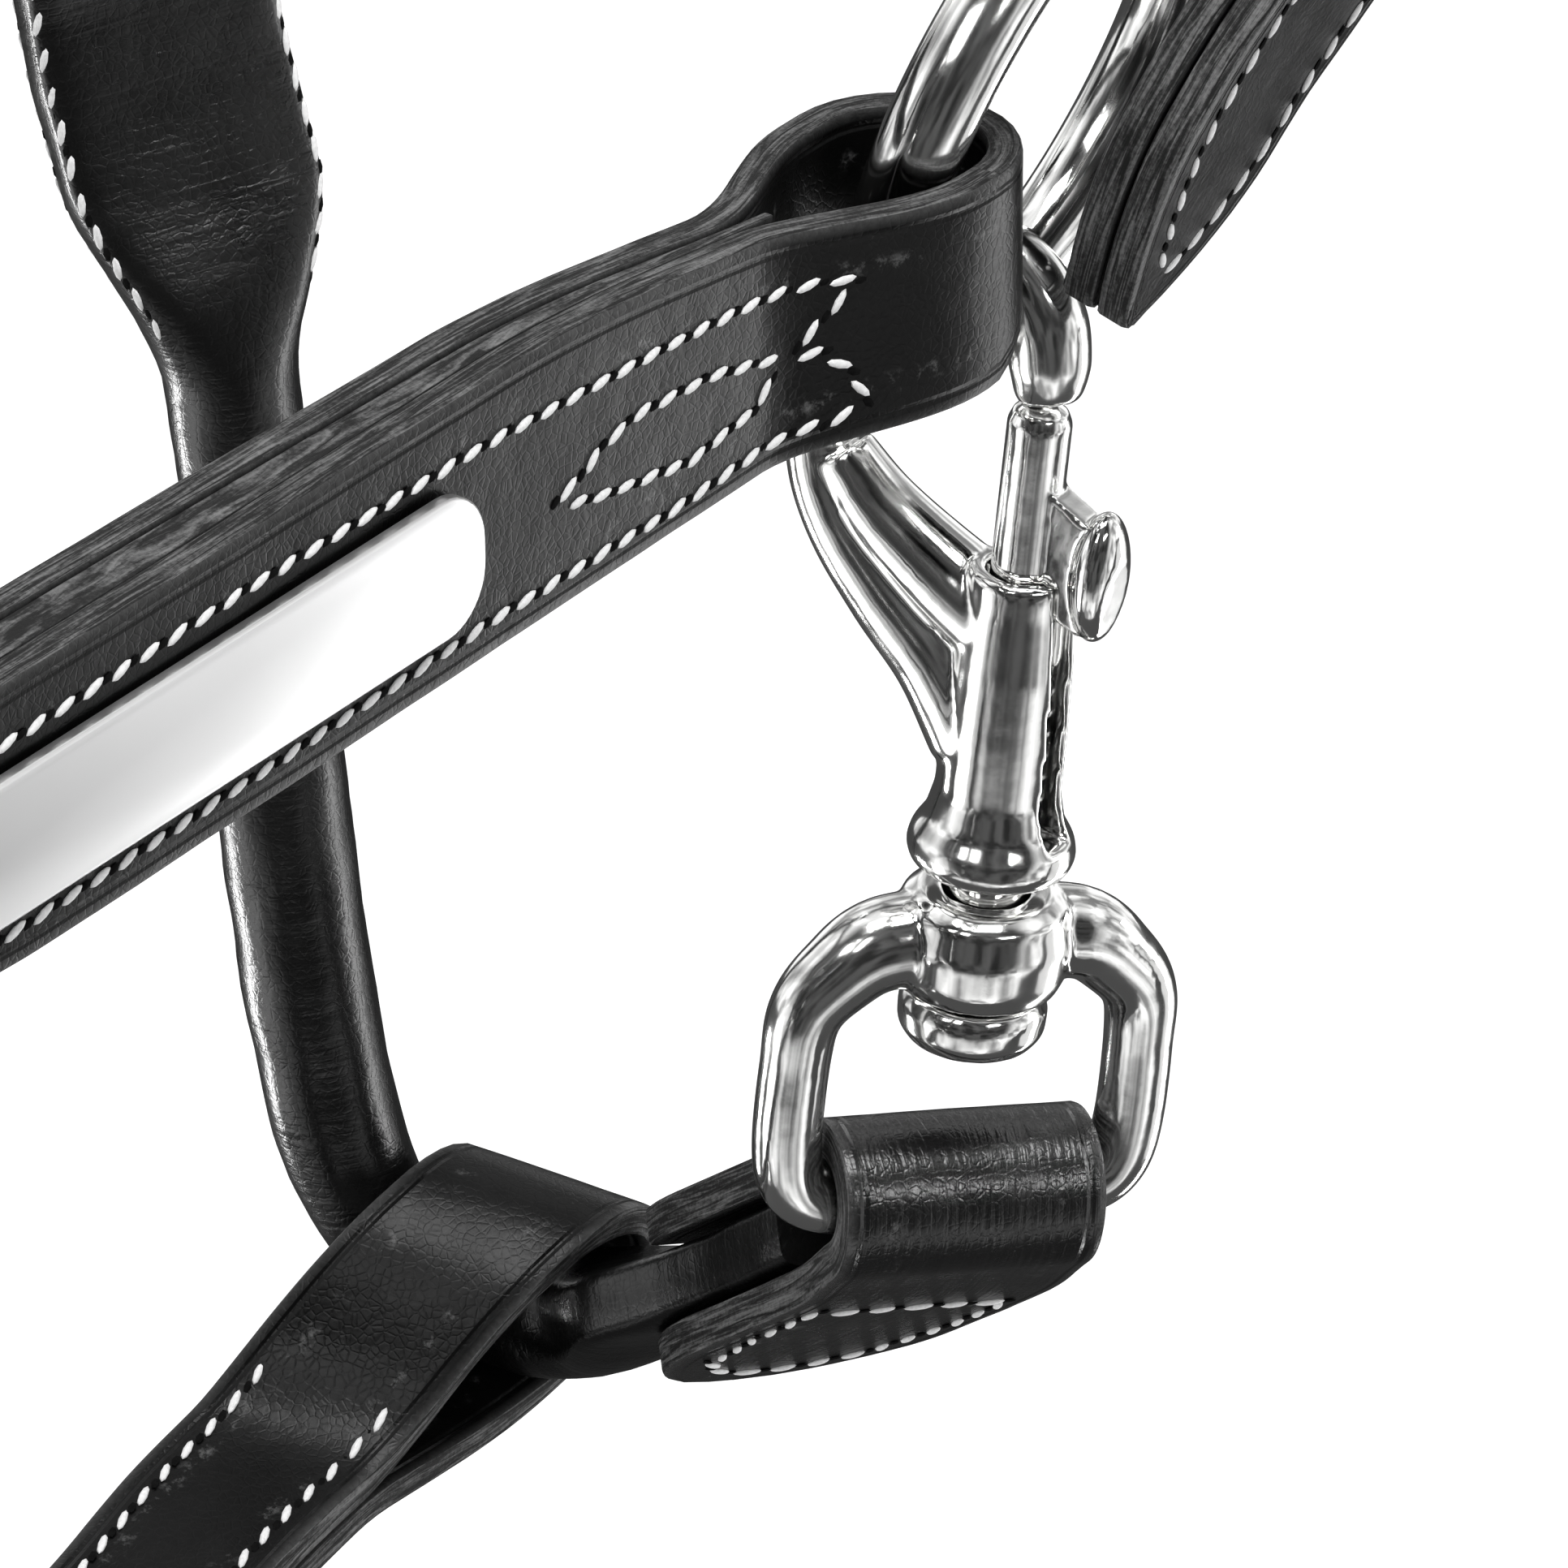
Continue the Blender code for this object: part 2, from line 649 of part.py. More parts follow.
OFF_CROWN_NEXT = Vector((-111.4, 56.2, -109.9))
off_crown_end, off_crown_fold, off_crown_wide = round_ring(
    OFF_RING, off_out, OFF_CROWN_NEXT, off_level, CROWN_PLY
)
crown_points = [
    near_point(-1.0, -15.0, 10.8),
    near_point(10.5, 5.0, 11.6),
    near_point(20.5, 22.0, 14.2),
    at_buckle(crown_buckle, -53.0, 9.4),
    at_buckle(crown_buckle, -40.0, BILLET_LOW + 0.1),
    at_buckle(crown_buckle, -26.0, BILLET_LOW),
    at_buckle(crown_buckle, -13.0, BILLET_LOW + 0.75),
    at_buckle(crown_buckle, 0.0, OVER_BAR),
    at_buckle(crown_buckle, BUCKLE_LENGTH / 2, (OVER_BAR + UNDER_BAR) / 2),
    at_buckle(crown_buckle, BUCKLE_LENGTH, UNDER_BAR),
    at_buckle(crown_buckle, 38.0, UNDER_BAR - 2.0),
    Vector((-29.0, -92.0, -78.0)),
    Vector((-14.0, -75.0, -36.0)),
    Vector((-4.0, -42.0, -8.0)),
    Vector((0.0, 0.0, crown_half)),
    Vector((-9.0, 40.0, -9.0)),
    Vector((-36.0, 66.0, -40.0)),
    Vector((-76.0, 68.0, -78.0)),
    OFF_CROWN_NEXT,
    off_crown_end,
]
crown_widths = [chape_wide] * 11 + [
    Vector((0.84, 0.2, -0.5)),
    Vector((0.92, 0.12, -0.37)),
    Vector((0.98, 0.0, -0.2)),
    Vector((1.0, 0.0, 0.0)),
    Vector((0.96, -0.12, -0.25)),
    Vector((0.82, -0.15, -0.55)),
    Vector((0.75, -0.2, -0.62)),
    off_crown_wide,
    off_crown_wide,
]
crown_route = Route(crown_points, crown_widths)


def billet_width(distance):
    """The full width, rounded in to a tongue-shaped tip."""
    return max(5.0, STRAP * math.sin(math.pi / 2 * min(1.0, (distance + 2.0) / 20.0)) ** 0.9)


# The strap reaches this far from its tip to the buckle's bar
bar_reach = min(
    (crown_route.reach[i] for i in range(len(crown_route.points))),
    key=lambda d: (crown_route.at(d)[0] - at_buckle(crown_buckle, 0.0, OVER_BAR)).length,
)
bar_stops = [bar_reach + 4.0 * k for k in range(-6, 10)]
CROWN_TAIL = 48.0
TIP_STEPS = (0.0, 2.0, 4.5, 8.0, 12.5, 18.0)
crown_track = [(d, chape_half) for d in TIP_STEPS]
crown_track += [
    (d, s)
    for d, s in hemmed(crown_route.length, 0.0, off_crown_fold, chape_half, CROWN_TAIL, bar_stops)
    if d > TIP_STEPS[-1] + 2
]
crown_strap = ribbon("crown_strap", crown_route, crown_track, BLACK_LEATHER, CROWN_PLY, billet_width)
lining_end = crown_route.length - CROWN_TAIL
lining_track = [(d, -chape_half) for d, s in crown_track if s > 0 and d < lining_end]
crown_lining = ribbon("crown_lining", crown_route, lining_track, BLACK_LEATHER, CROWN_PLY, billet_width)

crown_hole = tongue_hole("crown_tongue_hole", crown_buckle)
for piece in (crown_strap, crown_lining):
    boolean(piece, crown_hole, "DIFFERENCE")
keeper("crown_fixed_keeper", crown_buckle, 12.0, -CROWN_PLY - 1.9, BILLET_LOW + crown_half + 1.7)
keeper("crown_running_keeper", crown_buckle, 31.0, -CROWN_PLY - GAP / 2, BILLET_LOW + crown_half + 0.5)


def billet_holes(name, route, places):
    """Punched holes for the tongue, square through the strap."""
    bm = bmesh.new()
    for distance in places:
        point, along, across, side = route.at(distance)
        turn = frame(point, along, across, along.cross(across))
        bmesh.ops.create_cone(
            bm, cap_ends=True, segments=8, radius1=HOLE * MM, radius2=HOLE * MM, depth=20 * MM, matrix=turn
        )
    return cutter(name, bm)


used_hole = bar_reach + 0.5 * BUCKLE_LENGTH
spare_holes = [used_hole + HOLE_PITCH * k for k in (-4, -3, -2, 2)]
crown_spare = billet_holes("crown_spare_holes", crown_route, spare_holes)
for piece in (crown_strap, crown_lining):
    boolean(piece, crown_spare, "DIFFERENCE")


def chin_straps():
    """The two chin straps from the nose rings to the lead ring; the near one has the buckle."""
    half = (PLY + GAP) / 2
    middle = OFF_NOSE.lerp(LEAD_RING, 0.55) + Y_AXIS * 8.0
    off_low, off_fold, _ = round_ring(OFF_NOSE, Y_AXIS, middle, X_AXIS)
    off_lead, off_lead_fold, _ = round_ring(LEAD_RING, Z_AXIS, middle, X_AXIS)
    off = Route([off_low, middle, off_lead], [X_AXIS] * 3)
    ribbon(
        "off_chin_strap", off, folded(off.length, off_fold, off_lead_fold, half), BLACK_LEATHER, closed=True
    )

    lead_wire = LEAD_RING - Y_AXIS * RING
    line = (lead_wire - NEAR_NOSE + Z_AXIS * RING).normalized()
    face = X_AXIS.cross(line).normalized()
    face = face if face.y < 0 else -face
    wide = line.cross(face)
    near_low, near_fold, _ = round_ring(NEAR_NOSE, Y_AXIS, lead_wire, X_AXIS)
    bar = near_low + line * CHIN_CHAPE
    place = frame(bar, wide, line, face)
    route = Route([near_low, near_low.lerp(bar, 0.5), bar], [wide] * 3)
    bar_fold = BUCKLE_WIRE + 0.45 + PLY / 2
    track = folded(CHIN_CHAPE, near_fold, bar_fold, half, taper=19.0)
    chape = ribbon("chin_chape", route, track, BLACK_LEATHER, closed=True)
    boolean(chape, tongue_slot("chin_tongue_slot", place), "DIFFERENCE")
    buckle("chin", place)
    over = bar_fold + PLY / 2 + 0.4 + PLY / 2 - half
    under = BUCKLE_RISE - BUCKLE_WIRE - 0.6 - PLY / 2 - half
    near_lead, lead_fold, _ = round_ring(LEAD_RING, Z_AXIS, bar, X_AXIS)
    points = [
        at_buckle(place, -26.0, 9.5),
        at_buckle(place, -12.0, over - 0.4),
        at_buckle(place, 0.0, over),
        at_buckle(place, BUCKLE_LENGTH / 2, (over + under) / 2),
        at_buckle(place, BUCKLE_LENGTH, under),
        at_buckle(place, BUCKLE_LENGTH + 12.0, under - 0.6),
        near_lead,
    ]
    billet = Route(points, [wide] * len(points))
    close = [24.0 + 4.0 * k for k in range(10)]
    track = [(d, half) for d in (0.0, 3.0, 7.0, 13.0, 19.0)]
    track += [(d, s) for d, s in hemmed(billet.length, 0.0, lead_fold, half, 24.0, close) if d > 22.0]
    strap = ribbon("near_chin_strap", billet, track, BLACK_LEATHER, width=billet_width)
    boolean(strap, tongue_hole("chin_tongue_hole", place), "DIFFERENCE")
    keeper("chin_keeper", place, 12.0, -bar_fold - PLY / 2, over + half + PLY / 2 + 0.6)


chin_straps()


# Snap: its frame has z up the stem, x out towards the thumb piece
snap_across = SNAP_UP.cross(SNAP_OUT).normalized()
snap_out = snap_across.cross(SNAP_UP)
snap_place = frame(SNAP_TOP, snap_out, snap_across, SNAP_UP)
NOSE_X = 0.3
ARCH_Z = -1.3


def hook_line():
    """The hook's bar from the nose, over the arch and down the arm into the barrel."""
    top = [
        (NOSE_X - HOOK_ARCH + HOOK_ARCH * math.cos(a), ARCH_Z + HOOK_ARCH * math.sin(a))
        for a in (math.radians(22.5 * k) for k in range(9))
    ]
    nose = [(NOSE_X + 0.2, -4.8), (NOSE_X + 0.1, -4.2)]
    arm = [
        (-19.9, -7.0),
        (-21.2, -12.5),
        (-21.0, -17.5),
        (-17.8, -23.0),
        (-12.4, -28.2),
        (-6.6, -33.0),
        (-2.0, -39.0),
    ]
    return [Vector((x, 0, z)) for x, z in nose + top + arm]


def hook_radius(i):
    sizes = (2.0, 3.0, 3.75, 3.8, 3.65, 3.5, 3.35, HOOK_WIRE, HOOK_WIRE, HOOK_WIRE, HOOK_WIRE)
    arm = (3.2, 3.1, 3.2, 3.7, 4.3, 4.8, 5.2)
    return (sizes + arm)[i]


BARREL_PROFILE = (
    (0.0, -21.6),
    (4.5, -21.6),
    (4.9, -22.2),
    (5.0, -25.0),
    (5.5, -31.0),
    (BARREL, -38.0),
    (5.75, -44.0),
    (6.4, -46.8),
    (7.5, -48.6),
    (7.8, -50.0),
    (7.3, -51.3),
    (5.9, -51.9),
    (STEM, -52.1),
    (STEM, -64.4),
    (6.2, -64.7),
    (6.9, -66.0),
    (6.8, -68.2),
    (5.8, -69.6),
    (0.0, -69.9),
)


def slab(outline, half):
    """A flat plate in the snap's XZ plane, half as thick to either side."""
    bm = bmesh.new()
    near = bm.faces.new([bm.verts.new(Vector((x, -half, z)) * MM) for x, z in outline])
    grown = bmesh.ops.extrude_face_region(bm, geom=[near])
    far = [v for v in grown["geom"] if isinstance(v, bmesh.types.BMVert)]
    bmesh.ops.translate(bm, verts=far, vec=(0, 2 * half * MM, 0))
    return bm


def snap_body():
    """Hook, barrel, stem and riveted head in one casting, bored for the bolt."""
    body = add_object("snap_body", turned(BARREL_PROFILE, 20), NICKEL, snap_place)
    hook = cutter("hook_bar", tube(hook_line(), hook_radius, 10, Y_AXIS), snap_place)
    boolean(body, hook, "UNION")
    web = ((-16.2, -20.9), (-11.0, -21.9), (-6.0, -22.4), (-1.0, -22.4), (-1.0, -36.0), (-12.0, -30.0))
    boolean(body, cutter("hook_web", slab(web, 2.8), snap_place), "UNION")
    bore = cutter(
        "bolt_bore", turned(((0.0, -19.0), (BORE, -19.0), (BORE, -49.0), (0.0, -49.0)), 16), snap_place
    )
    boolean(body, bore, "DIFFERENCE")
    bm = bmesh.new()
    size = Matrix.Diagonal((12.0 * MM, 3.6 * MM, 29.0 * MM, 1))
    bmesh.ops.create_cube(bm, size=1.0, matrix=Matrix.Translation((6.0 * MM, 0, -33.5 * MM)) @ size)
    boolean(body, cutter("thumb_slot", bm, snap_place), "DIFFERENCE")
    return body


BOLT_PROFILE = (
    (0.0, -5.1),
    (1.5, -5.3),
    (2.5, -5.9),
    (BOLT, -7.0),
    (BOLT, -32.0),
    (0.0, -32.0),
)


def snap_bolt():
    """The sliding bolt, with the web and the thumb piece that stand out of the slot."""
    bolt = add_object("snap_bolt", turned(BOLT_PROFILE, 16), NICKEL, snap_place)
    fin = ((0.5, -11.8), (3.2, -13.4), (6.6, -15.2), (8.4, -17.0), (8.4, -24.6), (6.6, -26.4), (1.0, -24.0))
    web_bar = cutter("thumb_web", slab(fin, 1.45), snap_place)
    knob = [Vector((7.9, 0, z)) for z in (-14.6, -16.4, -20.6, -24.8, -27.2)]
    sizes = (0.9, 1.9, 2.1, 1.9, 0.8)
    bm = tube(knob, lambda i: sizes[i], 10, Y_AXIS)
    bmesh.ops.scale(bm, vec=(1, 1.6, 1), verts=bm.verts)
    knob_bar = cutter("thumb_knob", bm, snap_place)
    boolean(bolt, web_bar, "UNION")
    boolean(bolt, knob_bar, "UNION")
    return bolt


def snap_spring():
    """The coil spring under the bolt, wound open; prints the least gap between its turns."""
    top, bottom = -32.4, -48.6
    run = top - bottom - 2 * SPRING_WIRE
    count = SPRING_TURNS * 9
    path = []
    for i in range(count + 1):
        a = 2 * math.pi * SPRING_TURNS * i / count
        height = bottom + SPRING_WIRE + run * i / count
        path.append(Vector((SPRING_COIL * math.cos(a), SPRING_COIL * math.sin(a), height)))
    print("least gap between the spring's turns, mm:", round(run / SPRING_TURNS - 2 * SPRING_WIRE, 2))
    add_object("snap_spring", tube(path, SPRING_WIRE, 5, Z_AXIS), SPRING_STEEL, snap_place)


snap_body()
snap_bolt()
snap_spring()

# Eye: x along its bottom bar, y the stem's axis
eye_side = (EYE_SIDE - SNAP_UP * EYE_SIDE.dot(SNAP_UP)).normalized()
eye_face = eye_side.cross(SNAP_UP).normalized()
eye_bar = SNAP_TOP + SNAP_UP * EYE_BAR
eye_place = frame(eye_bar, eye_side, eye_face, SNAP_UP)


def snap_eye():
    """The swivel eye: a bent bar round the chape's roll, with the boss that the stem turns in."""
    half = (
        (0.0, 27.0, 4.6),
        (9.0, 26.8, 4.4),
        (13.4, 23.8, 3.9),
        (16.0, 20.2, 3.5),
        (16.5, 15.0, EYE_WIRE),
        (16.5, 7.0, EYE_WIRE),
        (15.6, 2.6, EYE_WIRE),
        (13.0, 0.4, EYE_WIRE),
        (8.0, 0.0, EYE_WIRE),
    )
    bow = half + tuple((-x, z, size) for x, z, size in reversed(half[1:]))
    line = [Vector((x, 0, z)) for x, z, _ in bow]
    bm = tube(line, lambda i: bow[i][2], 10, Y_AXIS, closed=True)
    eye = add_object("snap_eye", bm, NICKEL, eye_place)
    height = -EYE_BAR
    boss_profile = (
        (0.0, height - 54.2),
        (6.0, height - 54.2),
        (7.6, height - 55.4),
        (8.4, height - 58.6),
        (8.2, height - 62.0),
        (7.4, height - 63.9),
        (0.0, height - 63.9),
    )
    boss = cutter("eye_boss", turned(boss_profile, 20), eye_place)
    boolean(eye, boss, "UNION")
    free = STEM + 0.4
    hole = ((0.0, height - 50.0), (free, height - 50.0), (free, height - 70.0), (0.0, height - 70.0))
    boolean(eye, cutter("eye_hole", turned(hole, 20), eye_place), "DIFFERENCE")
    return eye


snap_eye()

# Throat strap and the chape that joins it to the eye
tail_down = (Vector((-0.050, 0.0786, -0.9956)) * 0.669 + Vector((0.643, 0.766, 0.0)) * 0.743).normalized()
tail_down = (tail_down - eye_side * tail_down.dot(eye_side)).normalized()


def tail_point(along, aside):
    """A point on the line from the eye's bar to the throat's roll, beside it by aside."""
    return eye_bar + tail_down * along - eye_side * aside


THROAT_AT = Vector((-130.0, -57.5, -190.0))
throat_next = THROAT_AT + Vector((-8.0, 97.1, -20.1))
throat_top, throat_fold, throat_wide = round_ring(OFF_RING, off_out, throat_next, off_level)
throat_points = [
    throat_top,
    throat_next,
    THROAT_AT + Vector((-8.0, 91.5, -41.0)),
    THROAT_AT + Vector((-8.0, 88.5, -57.0)),
    THROAT_AT + Vector((-8.0, 85.8, -78.0)),
    THROAT_AT + Vector((-8.0, 83.6, -100.3)),
    THROAT_AT + Vector((-8.0, 80.5, -122.0)),
    THROAT_AT + Vector((-6.6, 77.3, -138.0)),
    THROAT_AT + Vector((-4.4, 70.8, -147.3)),
    THROAT_AT + Vector((-1.6, 61.8, -150.8)),
    THROAT_AT + Vector((0.8, 52.0, -148.6)),
    tail_point(33.0, 6.5),
    tail_point(12.0, 0.5),
]
throat_widths = [throat_wide, Vector((0.85, -0.53, 0.0))]
throat_widths += [Vector((0.82, -0.57, 0.0))] * 9 + [eye_side] * 2
throat_route = Route(throat_points, throat_widths, skewed=True)
FLAT_END = 46.0
ROLL_START = 68.0
THROAT_FLAT = 2 * PLY + GAP


def throat_section(distance):
    """Half width, half thickness and squareness of the throat strap: flat, rolled, then flat again."""
    left = throat_route.length - distance
    into_roll = ease((distance - FLAT_END) / (ROLL_START - FLAT_END))
    out_of_roll = ease(1 - (left - 31.0) / 15.0)
    flat = max(1 - into_roll, out_of_roll)
    end_half = 3.6 if out_of_roll > 0 else THROAT_FLAT / 2
    wide = ROLL + (12.2 - ROLL) * flat
    thick = ROLL + (end_half - ROLL) * flat
    return wide, thick, 2.0 + 4.0 * flat


def throat_strap():
    """Folded flat round the off ring, sewn, then rolled round a core and flattened at the snap."""
    start = 20.0
    length = throat_route.length
    places = [start + (length - 1.0 - start) * i / 44 for i in range(45)]
    sections = []
    for distance in places:
        point, _, across, side = throat_route.at(distance)
        wide, thick, square = throat_section(distance)
        section = []
        for k in range(12):
            a = 2 * math.pi * (k + 0.5) / 12
            c, s = math.cos(a), math.sin(a)
            x = wide * math.copysign(abs(c) ** (2 / square), c)
            y = thick * math.copysign(abs(s) ** (2 / square), s)
            section.append(point + across * x + side * y)
        sections.append(section)
    strap = add_object("throat_strap", skin(sections), ROLLED_LEATHER)
    half = (PLY + GAP) / 2
    side = [(d, s) for d, s in loop_side(60.0, throat_fold, 0.0, half, taper=19.0) if d < 20.0]
    side.append((26.0, half))
    band = [(d, -s) for d, s in reversed(side)] + u_turn(0.0, throat_fold, -1)[::-1] + side
    loop = ribbon("throat_loop", throat_route, band, ROLLED_LEATHER, ply=PLY - 0.1, width=STRAP - 1.4)
    loop.hide_render = True
    loop.display_type = "WIRE"
    boolean(strap, loop, "UNION")


throat_strap()


def throat_chape():
    """The leather that wraps the eye's bar; its two tails are sewn to the throat strap's end."""
    ends = ((0.0, 0.0), (12.0, 0.5), (33.0, 6.5), (CHAPE_TAIL + 6.0, 13.5))
    route = Route([tail_point(*end) for end in ends], [eye_side] * 4, skewed=True)
    turn = EYE_WIRE + 0.6 + CHAPE_PLY / 2
    rest = 3.6 + 0.4 + CHAPE_PLY / 2
    short = [(d, rest) for d in (CHAPE_TAIL - 8.0, 28.0, 18.0, 10.0)] + [(4.0, turn), (0.0, turn)]
    long = [(0.0, -turn), (4.0, -turn)]
    long += [(d, -rest) for d in (10.0, 18.0, 28.0, 36.0, 40.5, 43.5, CHAPE_TAIL)]

    def width(distance):
        narrowing = max(0.0, distance - 28.0) / (CHAPE_TAIL - 27.0)
        return CHAPE_WIDTH * math.sqrt(1 - narrowing**2)

    track = long[::-1] + u_turn(0.0, turn, -1)[::-1] + short[::-1]
    ribbon("throat_chape", route, track, BLACK_LEATHER, ply=CHAPE_PLY, width=width)


throat_chape()


def jaw_strap():
    """The strap from the throat's roll to the lead ring, folded and sewn at both ends."""
    roll_at = THROAT_AT + JAW_LOOP
    before_ring = Vector((-282.0, 2.0, -330.0))
    lead_at, lead_fold, _ = round_ring(LEAD_RING, Z_AXIS, before_ring, Y_AXIS, width=JAW_WIDTH)
    points = [
        roll_at,
        THROAT_AT + Vector((-20.0, 69.5, -154.5)),
        THROAT_AT + Vector((-38.0, 70.7, -158.5)),
        THROAT_AT + Vector((-62.0, 69.0, -161.5)),
        Vector((-230.0, 7.0, -346.0)),
        before_ring,
        lead_at,
    ]
    widths = [JAW_ACROSS, Vector((-0.2, 0.95, 0.2)), Vector((-0.1, 1.0, 0.1))] + [Y_AXIS] * 4
    route = Route(points, widths, skewed=True)
    around = ROLL + JAW_PLAY + PLY / 2
    track = folded(route.length, around, lead_fold, (PLY + GAP) / 2, taper=30.0)
    ribbon("jaw_strap", route, track, BLACK_LEATHER, width=JAW_WIDTH, closed=True)


jaw_strap()
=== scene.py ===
import math

import bmesh
import bpy
from mathutils import Matrix, Vector, noise


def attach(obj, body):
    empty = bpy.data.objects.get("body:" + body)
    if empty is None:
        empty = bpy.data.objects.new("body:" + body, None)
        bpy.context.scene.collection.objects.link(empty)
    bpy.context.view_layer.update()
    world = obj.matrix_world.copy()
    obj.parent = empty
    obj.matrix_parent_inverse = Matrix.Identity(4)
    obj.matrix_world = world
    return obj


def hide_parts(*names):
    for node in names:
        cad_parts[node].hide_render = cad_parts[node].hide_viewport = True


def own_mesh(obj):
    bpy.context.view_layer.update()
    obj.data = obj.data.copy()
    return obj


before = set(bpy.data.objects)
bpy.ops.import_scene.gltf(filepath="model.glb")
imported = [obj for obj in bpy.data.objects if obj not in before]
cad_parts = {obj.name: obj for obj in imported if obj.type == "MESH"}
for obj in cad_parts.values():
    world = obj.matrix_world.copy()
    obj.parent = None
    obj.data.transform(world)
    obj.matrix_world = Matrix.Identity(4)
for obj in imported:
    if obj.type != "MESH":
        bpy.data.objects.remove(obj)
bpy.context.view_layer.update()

scene = bpy.context.scene
scene.view_settings.view_transform = "Standard"

# The picture's place
# A long lens looks down and to the right past the near cheek, at the ring and the snap. The halter
# hangs above a pale floor among soft lamps, with dim ones as broad as cards where its leather and
# its metal mirror them.
X_AXIS, Y_AXIS, Z_AXIS = Vector((1, 0, 0)), Vector((0, 1, 0)), Vector((0, 0, 1))
turn, tilt = math.radians(-57.0), math.radians(28.0)
to_right = Vector((math.cos(turn), math.sin(turn), 0.0))
ahead = Vector((-math.sin(turn), math.cos(turn), 0.0))
upwards = Z_AXIS * math.cos(tilt) + ahead * math.sin(tilt)
inwards = ahead * math.cos(tilt) - Z_AXIS * math.sin(tilt)
lens = bpy.data.cameras.new("long_lens")
lens.sensor_width = 36.0
lens.lens = 282.9
lens.clip_start = 0.05
lens.clip_end = 100.0
camera = bpy.data.objects.new("long_lens", lens)
camera.matrix_world = Matrix.Translation((-0.96829, -0.56907, 0.25527)) @ Matrix(
    (to_right, upwards, -inwards)
).transposed().to_4x4()
scene.collection.objects.link(camera)
scene.camera = camera

subject = Vector((-0.15, -0.04, -0.22))


def soft_lamp(name, aside, rise, away, size, power, aim=subject):
    """A soft lamp at angles aside of and above the lens's side of a point, turned to face it."""
    light = bpy.data.lights.new(name, "AREA")
    light.shape = "RECTANGLE"
    light.size, light.size_y = size
    light.energy = power
    aside, rise = math.radians(aside), math.radians(rise)
    level = -ahead * math.cos(aside) + to_right * math.sin(aside)
    direction = level * math.cos(rise) + Z_AXIS * math.sin(rise)
    facing = direction.to_track_quat("Z", "Y").to_matrix().to_4x4()
    lamp = bpy.data.objects.new(name, light)
    lamp.matrix_world = Matrix.Translation(aim + direction * away) @ facing
    scene.collection.objects.link(lamp)


soft_lamp("lamp_above", 10.0, 78.0, 1.3, (0.9, 0.5), 15.0)
soft_lamp("lamp_front", 40.0, 28.0, 1.4, (0.4, 0.12), 3.2)
soft_lamp("lamp_left", -110.0, -35.0, 1.4, (0.22, 0.55), 10.0)
soft_lamp("card_front", -32.0, 40.0, 1.3, (0.6, 0.4), 3.6)
soft_lamp("card_left", -76.0, -28.0, 1.3, (0.5, 0.8), 2.2)
soft_lamp("card_right", 107.0, -26.0, 1.2, (0.82, 0.8), 1.5)
soft_lamp("strip_right", 94.0, -21.0, 0.26, (0.05, 0.3), 0.22, Vector((-0.138, 0.04, -0.26)))


class Nodes:
    """A tree of nodes. Each call adds one, sets or joins its inputs, and gives back its output."""

    def __init__(self, tree):
        self.tree = tree

    def give(self, socket, given):
        if isinstance(given, bpy.types.NodeSocket):
            self.tree.links.new(given, socket)
        else:
            socket.default_value = given

    def add(self, kind, inputs=(), out=0, **settings):
        made = self.tree.nodes.new("ShaderNode" + kind)
        for key, setting in settings.items():
            setattr(made, key, setting)
        for key, given in dict(inputs).items():
            self.give(made.inputs[key], given)
        return made.outputs[out] if len(made.outputs) else made

    def place(self):
        return self.add("TexCoord", out="Object")

    def noise(self, place, scale, detail=2.0, roughness=0.5, distortion=0.0):
        inputs = {"Vector": place, "Scale": scale, "Detail": detail, "Roughness": roughness}
        return self.add("TexNoise", {**inputs, "Distortion": distortion})

    def ray(self, kind):
        return self.add("LightPath", out=f"Is {kind} Ray")

    def spread(self, value, low, high, to_low=0.0, to_high=1.0, **settings):
        """A value between low and high stretched to another range, and held in it."""
        inputs = {"Value": value, "From Min": low, "From Max": high, "To Min": to_low, "To Max": to_high}
        return self.add("MapRange", inputs, **settings)

    def maths(self, operation, *values):
        return self.add("Math", enumerate(values), operation=operation)

    def mix(self, factor, first, second):
        """Two colours mixed. A number stands for a grey."""
        first, second = ((c, c, c, 1.0) if isinstance(c, float) else c for c in (first, second))
        return self.add("Mix", {"Factor": factor, "A": first, "B": second}, 2, data_type="RGBA")

    def bump(self, strength, depth, height, under=None):
        inputs = {"Strength": strength, "Distance": depth, "Height": height}
        if under is not None:
            inputs["Normal"] = under
        return self.add("Bump", inputs)

    def shade(self, inputs):
        """The shader's own inputs set or joined."""
        shader = self.tree.nodes["Principled BSDF"]
        for key, given in inputs.items():
            self.give(shader.inputs[key], given)


surround = bpy.data.worlds.new("studio")
scene.world = surround
surround.use_nodes = True
surround.node_tree.nodes.clear()
nodes = Nodes(surround.node_tree)
direction = nodes.add("TexCoord", out="Generated")
towards_lens = nodes.add("VectorMath", {0: direction, 1: tuple(-inwards)}, "Value", operation="DOT_PRODUCT")
wall = nodes.add("ValToRGB", {"Fac": nodes.spread(towards_lens, -1.0, 1.0)})
tones = wall.node.color_ramp.elements
tones.remove(tones[1])
tones[0].color = (1.0, 1.0, 1.0, 1.0)
for at, tone in ((0.08, 0.95), (0.2, 0.7), (0.45, 0.8), (0.6, 1.0), (0.73, 0.5), (0.8, 0.05), (1.0, 0.08)):
    tones.new(at).color = (tone, tone, tone, 1.0)
things = nodes.spread(nodes.noise(direction, 3.4), 0.38, 0.62, 0.3, 1.5)
room = nodes.maths("MULTIPLY", wall, things)
brightness = nodes.add("Mix", {"Factor": nodes.ray("Glossy"), "A": 0.62, "B": room})
brightness = nodes.add("Mix", {"Factor": nodes.ray("Camera"), "A": brightness, "B": 1.0})
